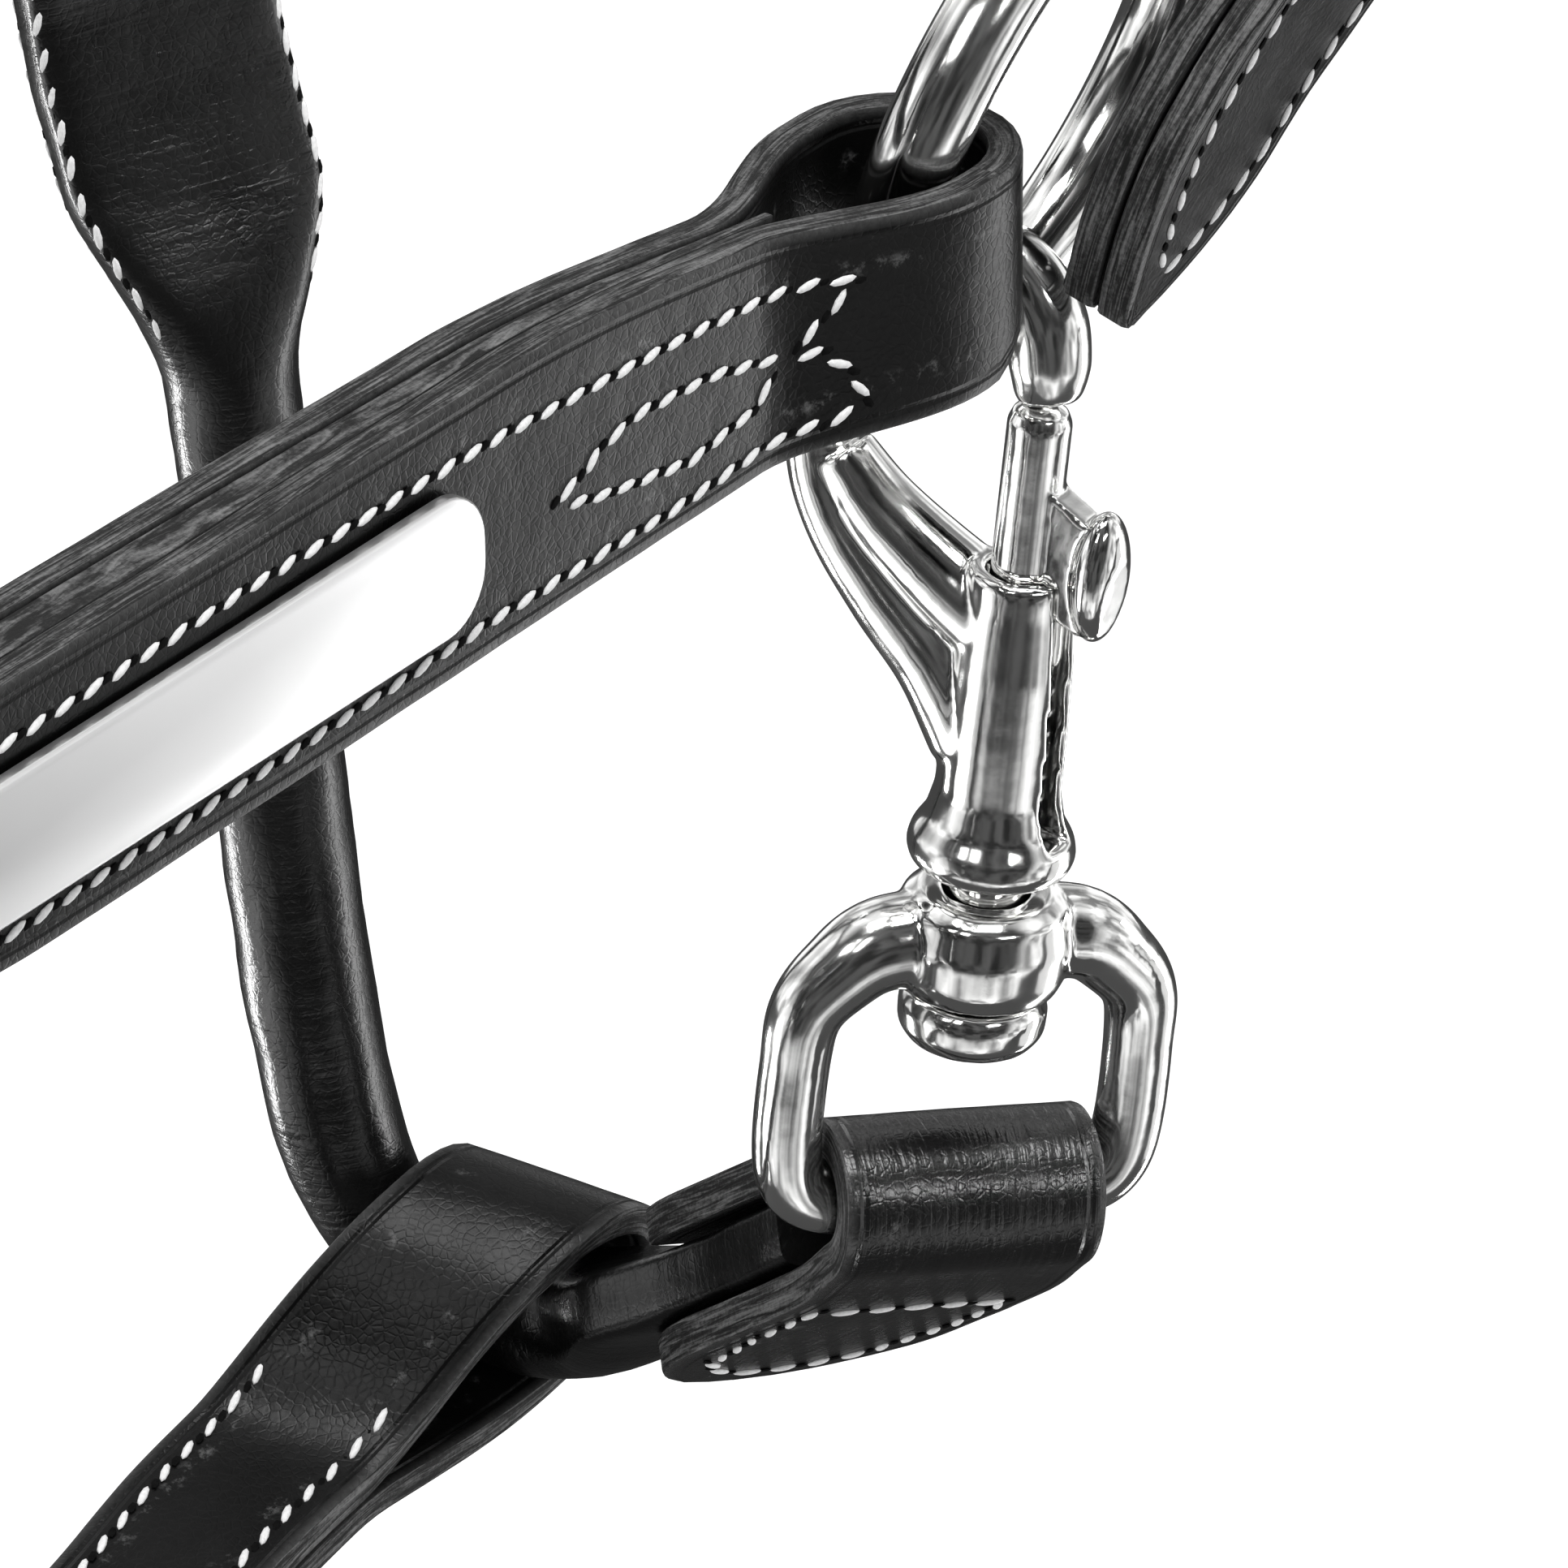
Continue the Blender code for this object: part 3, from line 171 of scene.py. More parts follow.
backdrop = nodes.add("Background", {"Color": (1.0, 1.0, 1.0, 1.0), "Strength": brightness})
nodes.add("OutputWorld", {"Surface": backdrop})


def new_finish(name):
    """A material and its tree of nodes."""
    made = bpy.data.materials.new(name)
    made.use_nodes = True
    return made, Nodes(made.node_tree)


floor_finish, nodes = new_finish("pale_floor")
paper = nodes.mix(nodes.noise(nodes.place(), 3.0, 3.0), 0.84, 0.9)
# To glossy rays the floor's colour is cut to nearly black, with a faint glow of 0.02: painted dark
# reflections in the leather and metal. To the lens it glows pale and keeps its shadow.
glow_in_reflections = nodes.maths("MULTIPLY", nodes.maths("ADD", nodes.ray("Glossy"), nodes.ray("Transmission")), 0.02)
nodes.shade({
    "Base Color": nodes.mix(nodes.maths("MULTIPLY", nodes.ray("Glossy"), 0.95), paper, 0.0),
    "Roughness": 0.9,
    "Specular IOR Level": 0.1,
    "Emission Color": (1.0, 1.0, 1.0, 1.0),
    "Emission Strength": nodes.maths("MULTIPLY_ADD", nodes.ray("Camera"), 0.5, glow_in_reflections),
})
bm = bmesh.new()
laid_behind = Matrix.Translation(subject + ahead * 14.4 - Z_AXIS * 0.9) @ Matrix.Rotation(turn, 4, "Z")
bmesh.ops.create_grid(bm, x_segments=1, y_segments=1, size=15.0, matrix=laid_behind)
floor_mesh = bpy.data.meshes.new("floor")
bm.to_mesh(floor_mesh)
bm.free()
floor_mesh.materials.append(floor_finish)
floor = bpy.data.objects.new("floor", floor_mesh)
scene.collection.objects.link(floor)

# Welded rings
# Five rings of round wire, 7.8 mm thick and about 44 mm inside, cast and polished and then plated
# with nickel. Each one can turn in the leather folded round it.
MM = 0.001
WIRE, RING = 3.9, 26.1
NEAR_RING = Vector((-133.8, -53.9, -197.2))
OFF_RING = Vector((-138.0, 47.0, -158.0))
CHEEK_START = Vector((-157.3, -54.2, -200.4))
CHEEK_END = CHEEK_START + Vector((-0.9986, 0.05, -0.015)) * 165.0
NEAR_NOSE = CHEEK_END + Vector((-24.0, 0, 0))
OFF_NOSE = Vector((NEAR_NOSE.x, -NEAR_NOSE.y, NEAR_NOSE.z + 17.0))
LEAD_RING = Vector((-346.3, 0.0, -318.0))

nickel, nodes = new_finish("polished_nickel")
place = nodes.place()
dents = nodes.bump(0.12, 0.0004, nodes.noise(place, 240.0))
nodes.shade({
    "Base Color": (0.9, 0.9, 0.89, 1.0),
    "Metallic": 1.0,
    "Roughness": nodes.spread(nodes.noise(place, 130.0, 5.0, 0.65), 0.35, 0.75, 0.07, 0.2),
    "Normal": nodes.bump(0.08, 0.00002, nodes.noise(place, 2600.0), dents),
})


def turned_to(origin, x, y, z):
    """The place of a piece from an origin and three directions."""
    return Matrix.Translation(origin) @ Matrix((x, y, z)).transposed().to_4x4()


def made_object(name, bm, place=None):
    """A shape in millimetres made an object in metres."""
    if place is not None:
        bmesh.ops.transform(bm, matrix=place, verts=bm.verts)
    bmesh.ops.scale(bm, vec=(MM, MM, MM), verts=bm.verts)
    bmesh.ops.recalc_face_normals(bm, faces=bm.faces)
    mesh = bpy.data.meshes.new(name)
    bm.to_mesh(mesh)
    bm.free()
    made = bpy.data.objects.new(name, mesh)
    scene.collection.objects.link(made)
    return made


def keep(name, bm, finishes, body, replaced=(), place=None, sharp=40.0):
    """A shape made a finished piece, which rides on its body."""
    piece = made_object(name, bm, place)
    for finish in finishes:
        piece.data.materials.append(finish)
    piece.data.shade_smooth()
    piece.data.set_sharp_from_angle(angle=math.radians(sharp))
    for node_name in replaced:
        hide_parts(node_name)
    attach(piece, body)
    return piece


def spun(bm, steps):
    """The points and edges of a shape spun once round Z and closed."""
    drawn = bm.verts[:] + bm.edges[:]
    whole = 2 * math.pi
    bmesh.ops.spin(bm, geom=drawn, axis=(0, 0, 1), cent=(0, 0, 0), angle=whole, steps=steps, use_merge=True)
    bmesh.ops.remove_doubles(bm, verts=bm.verts, dist=1e-4)


def ring_sides(yaw, lean, side):
    """A ring's level direction, its rise, and the way out from the head."""
    level = Vector((math.cos(yaw), math.sin(yaw), 0.0))
    across = Vector((-math.sin(yaw), math.cos(yaw), 0.0))
    rise = Z_AXIS * math.cos(lean) - across * math.sin(lean)
    return level, rise, level.cross(rise) * side


near_level, near_up, near_out = ring_sides(math.radians(4.5), math.radians(17.3), 1)
off_level, off_up, off_out = ring_sides(math.radians(-15.0), math.radians(-10.0), -1)
for ring_name, centre, level, rise in (
    ("near_upper_ring", NEAR_RING, near_level, near_up),
    ("off_upper_ring", OFF_RING, off_level, off_up),
    ("near_nose_ring", NEAR_NOSE, X_AXIS, Z_AXIS),
    ("off_nose_ring", OFF_NOSE, X_AXIS, Z_AXIS),
    ("lead_ring", LEAD_RING, X_AXIS, Y_AXIS),
):
    bm = bmesh.new()
    stand = Matrix.Translation((RING, 0, 0)) @ Matrix.Rotation(math.pi / 2, 4, "X")
    bmesh.ops.create_circle(bm, segments=32, radius=WIRE, matrix=stand)
    spun(bm, 112)
    place = turned_to(centre, level, rise, level.cross(rise))
    keep("polished_" + ring_name, bm, [nickel], ring_name, [ring_name], place)

# Cheek straps
# Each cheek is one length of black bridle leather folded round its two rings, with a third ply sewn
# between its halves. White waxed thread runs along both edges, and closes the fold with a pointed
# lens of stitches near the upper ring.
STRAP_WIDTH, PLY, SEAM = 25.4, 3.1, 0.3
LOOP_WIDTH, FOLD_TAPER, RING_PLAY = 20.0, 22.0, 0.7


class StrapLine:
    """A smooth line through set points, each with the direction of the strap's width there."""

    def __init__(self, points, widths, skewed=False):
        points = [Vector(p) for p in points]
        widths = [Vector(w).normalized() for w in widths]
        ends = [2 * points[0] - points[1]] + points + [2 * points[-1] - points[-2]]
        self.points, self.widths = [], []
        for i in range(len(points) - 1):
            for k in range(12 + (i == len(points) - 2)):
                u = k / 12
                p = ends[i : i + 4]
                square = (2 * p[0] - 5 * p[1] + 4 * p[2] - p[3]) * u**2
                cube = (3 * p[1] - p[0] - 3 * p[2] + p[3]) * u**3
                self.points.append(0.5 * (2 * p[1] + (p[2] - p[0]) * u + (square + cube)))
                self.widths.append(widths[i].lerp(widths[i + 1], u).normalized())
        self.reach = [0.0]
        for a, b in zip(self.points, self.points[1:]):
            self.reach.append(self.reach[-1] + (b - a).length)
        self.length = self.reach[-1]
        if not skewed:
            tangents = [self.tangent(i) for i in range(len(self.points))]
            self.widths = [(w - t * w.dot(t)).normalized() for w, t in zip(self.widths, tangents)]

    def tangent(self, i):
        i = min(max(i, 0), len(self.points) - 1)
        return (self.points[min(i + 1, len(self.points) - 1)] - self.points[max(i - 1, 0)]).normalized()

    def at(self, distance):
        """The point, direction, width and side directions at a distance along the line."""
        i = 0
        while i < len(self.reach) - 2 and self.reach[i + 1] < distance:
            i += 1
        step = self.reach[i + 1] - self.reach[i]
        u = (distance - self.reach[i]) / step
        inside = min(max(u, 0.0), 1.0)
        along = self.tangent(i).lerp(self.tangent(i + 1), inside).normalized()
        point = self.points[i].lerp(self.points[i + 1], inside) + along * (u - inside) * step
        width = self.widths[i].lerp(self.widths[i + 1], inside).normalized()
        return point, along, width, width.cross(along).normalized()


def ease(x):
    """A smooth step from 0 to 1."""
    x = min(max(x, 0.0), 1.0)
    return x * x * (3 - 2 * x)


def value(amount, distance):
    """An amount that may change along a strap."""
    return amount(distance) if callable(amount) else amount


def closing(distance, taper):
    """How far a fold still stands open: 1 at the wire, 0 where the plies meet."""
    return ease(1 - (distance - 2.5) / (taper - 2.5))


def open_side(length, loop0, loop1, half, taper=FOLD_TAPER, pitch=2.2, extra=()):
    """One side of a folded strap as (distance, offset from its line)."""
    count = math.ceil(length / pitch)
    side = []
    for distance in sorted({round(length * i / count, 3) for i in range(count + 1)} | set(extra)):
        middle = value(half, distance)
        open0 = (loop0 - middle) * closing(distance, taper) if loop0 else 0.0
        open1 = (loop1 - middle) * closing(length - distance, taper) if loop1 else 0.0
        side.append((distance, middle + open0 + open1))
    return side


def round_the_wire(distance, radius, way, steps=16):
    """A fold's half turn round a wire, past the strap's end in the way given."""
    angles = [math.pi * i / steps for i in range(1, steps)]
    return [(distance + way * radius * math.sin(a), radius * math.cos(a)) for a in angles]


def folded(length, loop0, loop1, half, taper=FOLD_TAPER, pitch=2.2):
    """A strap folded at both ends and sewn together between."""
    side = open_side(length, loop0, loop1, half, taper, pitch)
    back = [(distance, -offset) for distance, offset in reversed(side)]
    return side + round_the_wire(length, loop1, 1) + back + round_the_wire(0.0, loop0, -1)[::-1]


def hemmed(length, loop0, loop1, half, tail):
    """The outer ply, turned back at each fold into a short tail on its inner side."""
    side = open_side(length, loop0, loop1, half, extra=(tail, length - tail))
    track = side
    if loop0:
        head = [(d, -s) for d, s in side if d <= tail]
        track = head[::-1] + round_the_wire(0.0, loop0, -1)[::-1] + track
    if loop1:
        foot = [(d, -s) for d, s in side if d >= length - tail]
        track = track + round_the_wire(length, loop1, 1) + foot[::-1]
    return track


def fold_at_ring(centre, normal, onward, across, ply=PLY, width=STRAP_WIDTH):
    """Where a fold round a ring is centred, its radius and the way of its width."""
    away = onward - centre
    radial = (away - normal * away.dot(normal)).normalized()
    tangent = normal.cross(radial).normalized()
    tangent = tangent if tangent.dot(across) > 0 else -tangent
    inner = RING - WIRE
    drop = radial * (inner - math.sqrt(inner**2 - (width / 2) ** 2))
    line = (onward - centre - radial * RING).normalized()
    aside = (drop - line * drop.dot(line)) / 2
    start = centre + radial * RING - drop + aside + line * 0.3
    return start, WIRE + RING_PLAY + aside.length + ply / 2, tangent


def laid(line, track, width, shift=0.0, ply=PLY):
    """The stations of a strap: middle, way of its width, width and thickness."""
    stations = []
    for distance, offset in track:
        point, _, across, side = line.at(distance)
        middle = point + side * offset + across * value(shift, distance)
        stations.append((middle, across, value(width, distance), value(ply, distance)))
    return stations


def leather_sheet(stations, closed=False, cells=8, ripple=0.1, eased=0.5):
    """A flat sheet bent through its stations, given its thickness, its cut edges eased."""
    count = len(stations)
    steps = count if closed else count - 1
    run = [0.0]
    for before, after in zip(stations, stations[1:] + stations[:1]):
        run.append(run[-1] + (after[0] - before[0]).length)
    bm = bmesh.new()
    edge_map = bm.loops.layers.uv.new("strap")
    mark = bm.verts.layers.int.new("mark")
    bmesh.ops.create_grid(bm, x_segments=steps, y_segments=cells, size=0.5)
    for face in bm.faces:
        for corner in face.loops:
            i = round((corner.vert.co.x + 0.5) * steps)
            inset = (0.5 - abs(corner.vert.co.y)) * stations[i % count][2]
            corner[edge_map].uv = (run[i] * MM, inset * MM)
    for vert in bm.verts:
        i = round((vert.co.x + 0.5) * steps) % count
        middle, across, width, _ = stations[i]
        vert[mark] = i
        vert.co = middle + across * vert.co.y * width
    bmesh.ops.remove_doubles(bm, verts=bm.verts, dist=1e-4)
    bm.normal_update()
    rest = []
    for k, vert in enumerate(bm.verts):
        thick = stations[vert[mark]][3]
        wave = noise.noise(vert.co * 0.085) * ripple + noise.noise(vert.co * 0.33) * ripple * 0.3
        rest.append((vert.co + vert.normal * wave, vert.normal.copy(), thick))
        vert[mark] = k
    front = set(bm.verts)
    bmesh.ops.solidify(bm, geom=bm.faces[:], thickness=1.0)
    for vert in bm.verts:
        at, normal, thick = rest[vert[mark]]
        vert.co = at + normal * (thick / 2 if vert in front else -thick / 2)
    rim = {f for f in bm.faces if 0 < sum(v in front for v in f.verts) < len(f.verts)}
    for face in rim:
        face.material_index = 1
        for corner in face.loops:
            corner[edge_map].uv.y = -MM if corner.vert in front else -MM - stations[0][3] * MM
    if eased:
        corners = [e for e in bm.edges if len(e.link_faces) == 2 and sum(f in rim for f in e.link_faces) == 1]
        bmesh.ops.bevel(bm, geom=corners, offset=eased, segments=2, profile=0.5, affect="EDGES", material=-1)
    return bm


def made_solid(piece):
    """The piece's modifiers made part of its mesh."""
    graph = bpy.context.evaluated_depsgraph_get()
    shaped = bpy.data.meshes.new_from_object(piece.evaluated_get(graph))
    piece.modifiers.clear()
    piece.data = shaped


def join_or_cut(piece, bm, way, place=None):
    """A second shape joined to the piece or cut out of it."""
    tool = made_object("tool", bm, place)
    change = piece.modifiers.new("change", "BOOLEAN")
    change.object = tool
    change.operation = way
    made_solid(piece)
    bpy.data.objects.remove(tool, do_unlink=True)


def bridle_leather(name, dark, worn, gloss, sheen, grain, wrinkles=(0.0, 0.0), drawn=0.0):
    """Dyed and waxed strap leather: fine pores, a creased line inside its edge and greyed wear.

    Leather bent round something is also drawn into wrinkles, so many to the metre along and across.
    """
    made, nodes = new_finish(name)
    place = nodes.place()
    strap = nodes.add("UVMap", uv_map="strap")
    inset = nodes.add("SeparateXYZ", {0: strap}, "Y")

    def beside(line, low, high):
        """How far a place is from a line inside the edge, spread between two distances."""
        return nodes.spread(nodes.maths("ABSOLUTE", nodes.maths("SUBTRACT", inset, line)), low, high)

    cloud = nodes.noise(place, 75.0, 5.0, 0.6)
    fibre = nodes.noise(place, 1500.0, 3.0, 0.7)
    colour = nodes.mix(nodes.spread(cloud, 0.3, 0.72), dark, worn)
    colour = nodes.mix(nodes.maths("MULTIPLY", nodes.spread(inset, 0.0012, 0.0), fibre), colour, 0.075)
    chafe = nodes.spread(nodes.noise(place, 420.0, 6.0, 0.75), 0.55, 0.72)
    colour = nodes.mix(nodes.maths("MULTIPLY", beside(0.0046, 0.0013, 0.0002), chafe), colour, 0.11)
    skin = nodes.bump(0.7, 0.00025, beside(0.0016, 0.0001, 0.00045))
    skin = nodes.bump(0.35, 0.0009, cloud, skin)
    pores = nodes.add("TexVoronoi", {"Vector": place, "Scale": 1150.0}, feature="DISTANCE_TO_EDGE")
    skin = nodes.bump(0.30 * grain, 0.00008, nodes.spread(pores, 0.0, 0.14), skin)
    skin = nodes.bump(0.35 * grain, 0.00006, fibre, skin)
    if drawn:
        strap = nodes.add("Mapping", {"Vector": strap, "Scale": (*wrinkles, 1.0)})
        slow = nodes.add("Mapping", {"Vector": place, "Scale": (150.0, 150.0, 0.0)})
        strap = nodes.add("VectorMath", {0: strap, 1: slow}, operation="ADD")
        skin = nodes.bump(drawn, 0.0003, nodes.noise(strap, 1.0, 3.0, distortion=0.4), skin)
    nodes.shade({
        "Base Color": colour,
        "Roughness": nodes.spread(cloud, 0.3, 0.7, gloss, gloss + 0.09),
        "Specular IOR Level": sheen,
        "Normal": skin,
    })
    return made


black_leather = bridle_leather("black_leather", 0.001, 0.004, 0.28, 0.2, 0.6)

cut_edge, nodes = new_finish("cut_edge")
fibres = nodes.add("Mapping", {"Vector": nodes.add("UVMap", uv_map="strap"), "Scale": (110.0, 1900.0, 1.0)})
fibres = nodes.noise(fibres, 1.0, 5.0, 0.62, 1.1)
plush = nodes.spread(nodes.noise(nodes.place(), 2300.0, 3.0, 0.7), 0.0, 1.0, 0.35, 0.65)
fuzz_and_sheen = nodes.maths("MULTIPLY", fibres, plush)
# The grey streaks in the cut edge's colour are partly the fibres' own grey and partly a painted highlight of
# light catching them.
nodes.shade({
    "Base Color": nodes.mix(nodes.spread(fuzz_and_sheen, 0.2, 0.37, interpolation_type="SMOOTHSTEP"), 0.006, 0.15),
    "Roughness": 0.72,
    "Specular IOR Level": 0.3,
    "Normal": nodes.bump(0.9, 0.0004, fuzz_and_sheen),
})

thread, nodes = new_finish("white_thread")
lint = nodes.noise(nodes.place(), 2600.0, 3.0)
nodes.shade({
    "Base Color": nodes.mix(lint, 0.5, 0.88),
    "Roughness": 0.75,
    "Normal": nodes.bump(0.5, 0.0001, lint),
})

# A pricked hole is drawn as a flat, dark, matte patch beside each stitch: painted shade where the hole is.
hole_shade, nodes = new_finish("painted_hole_shade")
soot = nodes.noise(nodes.place(), 1800.0)
nodes.shade({"Base Color": nodes.mix(soot, 0.001, 0.008), "Roughness": 0.95, "Specular IOR Level": 0.05})


def keep_leather(name, sheet, node_name, body="straps"):
    """A sheet of black leather kept as a finished piece."""
    return keep(name, sheet, [black_leather, cut_edge], body, [node_name])


def strap_face(line, offset, way):
    """A function that gives the point and the outward normal on one face of a strap."""

    def place(distance, height):
        point, along, across, side = line.at(distance)
        slope = value(offset, distance + 0.5) - value(offset, distance - 0.5)
        normal = (side * way - along * slope).normalized()
        return point + side * way * value(offset, distance) + across * height, normal

    return place


def stitch_places(face, trace, pitch=3.6):
    """Even places along a line drawn on a face: point, direction and outward normal of each."""
    fine = []
    for (d0, v0), (d1, v1) in zip(trace, trace[1:]):
        parts = max(1, round(math.hypot(d1 - d0, v1 - v0) / 0.6))
        fine += [(d0 + (d1 - d0) * k / parts, v0 + (v1 - v0) * k / parts) for k in range(parts)]
    fine.append(trace[-1])
    points = [face(*spot) for spot in fine]
    reach = [0.0]
    for a, b in zip(points, points[1:]):
        reach.append(reach[-1] + (b[0] - a[0]).length)
    count = max(1, round(reach[-1] / pitch))
    places, i = [], 0
    for k in range(count):
        wanted = reach[-1] * (k + 0.5) / count
        while reach[i + 1] < wanted:
            i += 1
        u = (wanted - reach[i]) / (reach[i + 1] - reach[i])
        ahead, behind = points[min(i + 2, len(points) - 1)][0], points[max(i - 1, 0)][0]
        places.append((points[i][0].lerp(points[i + 1][0], u), (ahead - behind).normalized(), points[i][1]))
    return places


bm = bmesh.new()
# A stitch is a slanted bead of thread with a flat patch of painted hole shade at its end.
slant = Matrix.Rotation(math.radians(17.0), 4, "Z")
for middle, size, u, v, finish in ((0.0, (2.7, 0.84, 0.6), 8, 6, 0), (1.78, (1.5, 0.8, 0.24), 6, 4, 1)):
    shape = Matrix.Translation((middle, 0, 0)) @ slant @ Matrix.Diagonal((*size, 1.0))
    drawn = bmesh.ops.create_uvsphere(bm, u_segments=u, v_segments=v, radius=0.5, matrix=shape)
    for face in {f for vert in drawn["verts"] for f in vert.link_faces}:
        face.material_index = finish
stitch = bpy.data.meshes.new("stitch")
bm.to_mesh(stitch)
bm.free()


def sew(name, rows, body="straps"):
    """Rows of slanted stitches, each drawn into the leather beside a dark patch, painted shade for its
    pricked hole.
    """
    bm = bmesh.new()
    for places in rows:
        for point, along, normal in places:
            along = (along - normal * along.dot(normal)).normalized()
            longer = 1 + 0.14 * noise.noise(point * 0.9)
            wander = Matrix.Rotation(0.16 * noise.noise(point * 1.7), 4, "Z")
            place = turned_to(point + normal * 0.1, along, normal.cross(along), normal)
            one = stitch.copy()
            one.transform(place @ (wander @ Matrix.Diagonal((longer, 1, 1, 1))))
            bm.from_mesh(one)
            bpy.data.meshes.remove(one)
    return keep(name, bm, [thread, hole_shade], body, sharp=80.0)


def filler_thickness(distance):
    """The middle ply is skived thin towards the upper ring."""
    return 0.9 + 3.1 * ease(distance / 130.0)


def cheek_half(distance):
    """How far the middle of a cheek's outer ply lies from the strap's own middle."""
    return (filler_thickness(distance) + 2 * SEAM + PLY) / 2


def cheek(side_name, line, loop, nose_fold, lower, corner):
    """The folded strap and the ply between its halves."""
    length = line.length

    def cut_off(distance):
        return corner * ease((1.0 - distance) / 10.0)

    def width(distance):
        narrowing = max(ease(1 - distance / 62.0), ease(1 - (length - distance) / 40.0))
        return STRAP_WIDTH - (STRAP_WIDTH - LOOP_WIDTH) * narrowing - cut_off(distance)

    def lowered(distance):
        return cut_off(distance) / 2 - lower * ease(1 - distance / 62.0)

    taper = 26.0
    track = folded(length, loop, nose_fold, cheek_half, taper=taper, pitch=1.6)
    outer = leather_sheet(laid(line, track, width, lowered), closed=True, cells=12)
    name = side_name + "_cheek"
    keep_leather(name + "_leather", outer, name + "_strap")
    inner = [(19.0 + (length - 38.0) * k / 60, 0.0) for k in range(61)]
    stations = laid(line, inner, lambda d: width(d) - 0.6, lowered, filler_thickness)
    keep_leather(name + "_middle_ply", leather_sheet(stations, ripple=0.0, eased=0.2), name + "_filler")

    def face_offset(distance):
        half = cheek_half(distance)
        start = (loop - half) * closing(distance, taper)
        end = (nose_fold - half) * closing(length - distance, taper)
        return half + PLY / 2 + start + end

    return face_offset


near_line = StrapLine([CHEEK_START, CHEEK_START.lerp(CHEEK_END, 0.5), CHEEK_END], [Z_AXIS] * 3)
_, near_nose_fold, _ = fold_at_ring(NEAR_NOSE, Y_AXIS, CHEEK_START, Z_AXIS, width=LOOP_WIDTH)
near_offset = cheek("near", near_line, 9.15, near_nose_fold, 2.7, 6.0)
off_start, off_fold, off_wide = fold_at_ring(OFF_RING, off_out, OFF_NOSE, Z_AXIS, width=LOOP_WIDTH)
off_end, off_nose_fold, nose_wide = fold_at_ring(OFF_NOSE, Y_AXIS, OFF_RING, Z_AXIS, width=LOOP_WIDTH)
off_line = StrapLine(
    [off_start, off_start.lerp(off_end, 0.5), off_end], [off_wide, off_wide.lerp(nose_wide, 0.5), nose_wide]
)
off_offset = cheek("off", off_line, off_fold, off_nose_fold, 0.0, 0.0)

near_rows = (
    [(148.0, 7.3), (96.9, 7.7), (64.6, 6.9), (36.5, 5.0)]
    + [(18.5, 3.2), (15.8, 2.6), (16.6, 1.5), (21.5, -2.2)],
    [(23.2, -2.6), (32.0, -0.4), (36.6, 0.1), (43.5, 0.7), (48.0, 0.0), (52.0, -1.5), (55.5, -2.6)],
    [(54.0, -3.4), (48.7, -4.7), (36.2, -6.9), (32.7, -6.5), (27.4, -6.0), (24.0, -4.0)],
    [(21.8, -2.8), (19.0, -3.4), (16.6, -5.6), (15.0, -8.6)]
    + [(16.8, -10.0), (39.1, -10.4), (62.9, -9.6), (148.0, -9.4)],
)
reach = off_line.length - 16.0
off_rows = [[(16.0, v * 0.8), (60.0, v), (reach - 40.0, v), (reach, v * 0.8)] for v in (8.9, -8.9)]
rows = []
for way in (1, -1):
    face = strap_face(near_line, near_offset, way)
    rows += [stitch_places(face, trace) for trace in near_rows]
    face = strap_face(off_line, off_offset, way)
    rows += [stitch_places(face, trace) for trace in off_rows]
sew("cheek_stitching", rows)

# Name plate
# A bright blank bar with round ends, laid along the near cheek between its rows of stitches and
# clenched through the leather from behind.
PLATE_LONG, PLATE_HIGH, PLATE_THICK = 74.0, 12.8, 1.2
PLATE_START = 67.8
plate_metal, nodes = new_finish("bright_plate")
place = nodes.place()
lines = nodes.noise(nodes.add("Mapping", {"Vector": place, "Scale": (60.0, 1500.0, 1500.0)}), 1.0, 4.0)
nodes.shade({
    "Base Color": (0.9, 0.9, 0.9, 1.0),
    "Metallic": 1.0,
    "Roughness": nodes.spread(nodes.noise(place, 55.0, 4.0), 0.3, 0.7, 0.28, 0.36),
    "Normal": nodes.bump(0.12, 0.00003, lines),
})


def cheek_face(distance):
    """The point on the near cheek's outer face at a distance along it."""
    return near_line.at(distance)[0] - Y_AXIS * (filler_thickness(distance) / 2 + 2 * SEAM + PLY)


plate_back = cheek_face(PLATE_START)
along = (cheek_face(PLATE_START + PLATE_LONG) - plate_back).normalized()
outward = Z_AXIS.cross(along).normalized()
rise = along.cross(outward)
bm = bmesh.new()
bmesh.ops.create_grid(bm, x_segments=1, y_segments=1, size=0.5)
bmesh.ops.scale(bm, vec=(PLATE_LONG, PLATE_HIGH, 1.0), verts=bm.verts)
bmesh.ops.bevel(bm, geom=bm.verts[:], offset=5.4, segments=10, profile=0.5, affect="VERTICES", material=-1)
made = bmesh.ops.extrude_face_region(bm, geom=bm.faces[:])
front = {v for v in made["geom"] if isinstance(v, bmesh.types.BMVert)}
bmesh.ops.translate(bm, verts=list(front), vec=(0, 0, PLATE_THICK))
edges = [e for e in bm.edges if all(v in front for v in e.verts)]
bmesh.ops.bevel(bm, geom=edges, offset=0.4, segments=3, profile=0.5, affect="EDGES", material=-1)
middle = plate_back + along * PLATE_LONG / 2 - rise * 0.9 + outward * 0.4
place = turned_to(middle, along, rise, outward)
keep("plate_bar", bm, [plate_metal], "straps", ["name_plate"], place)

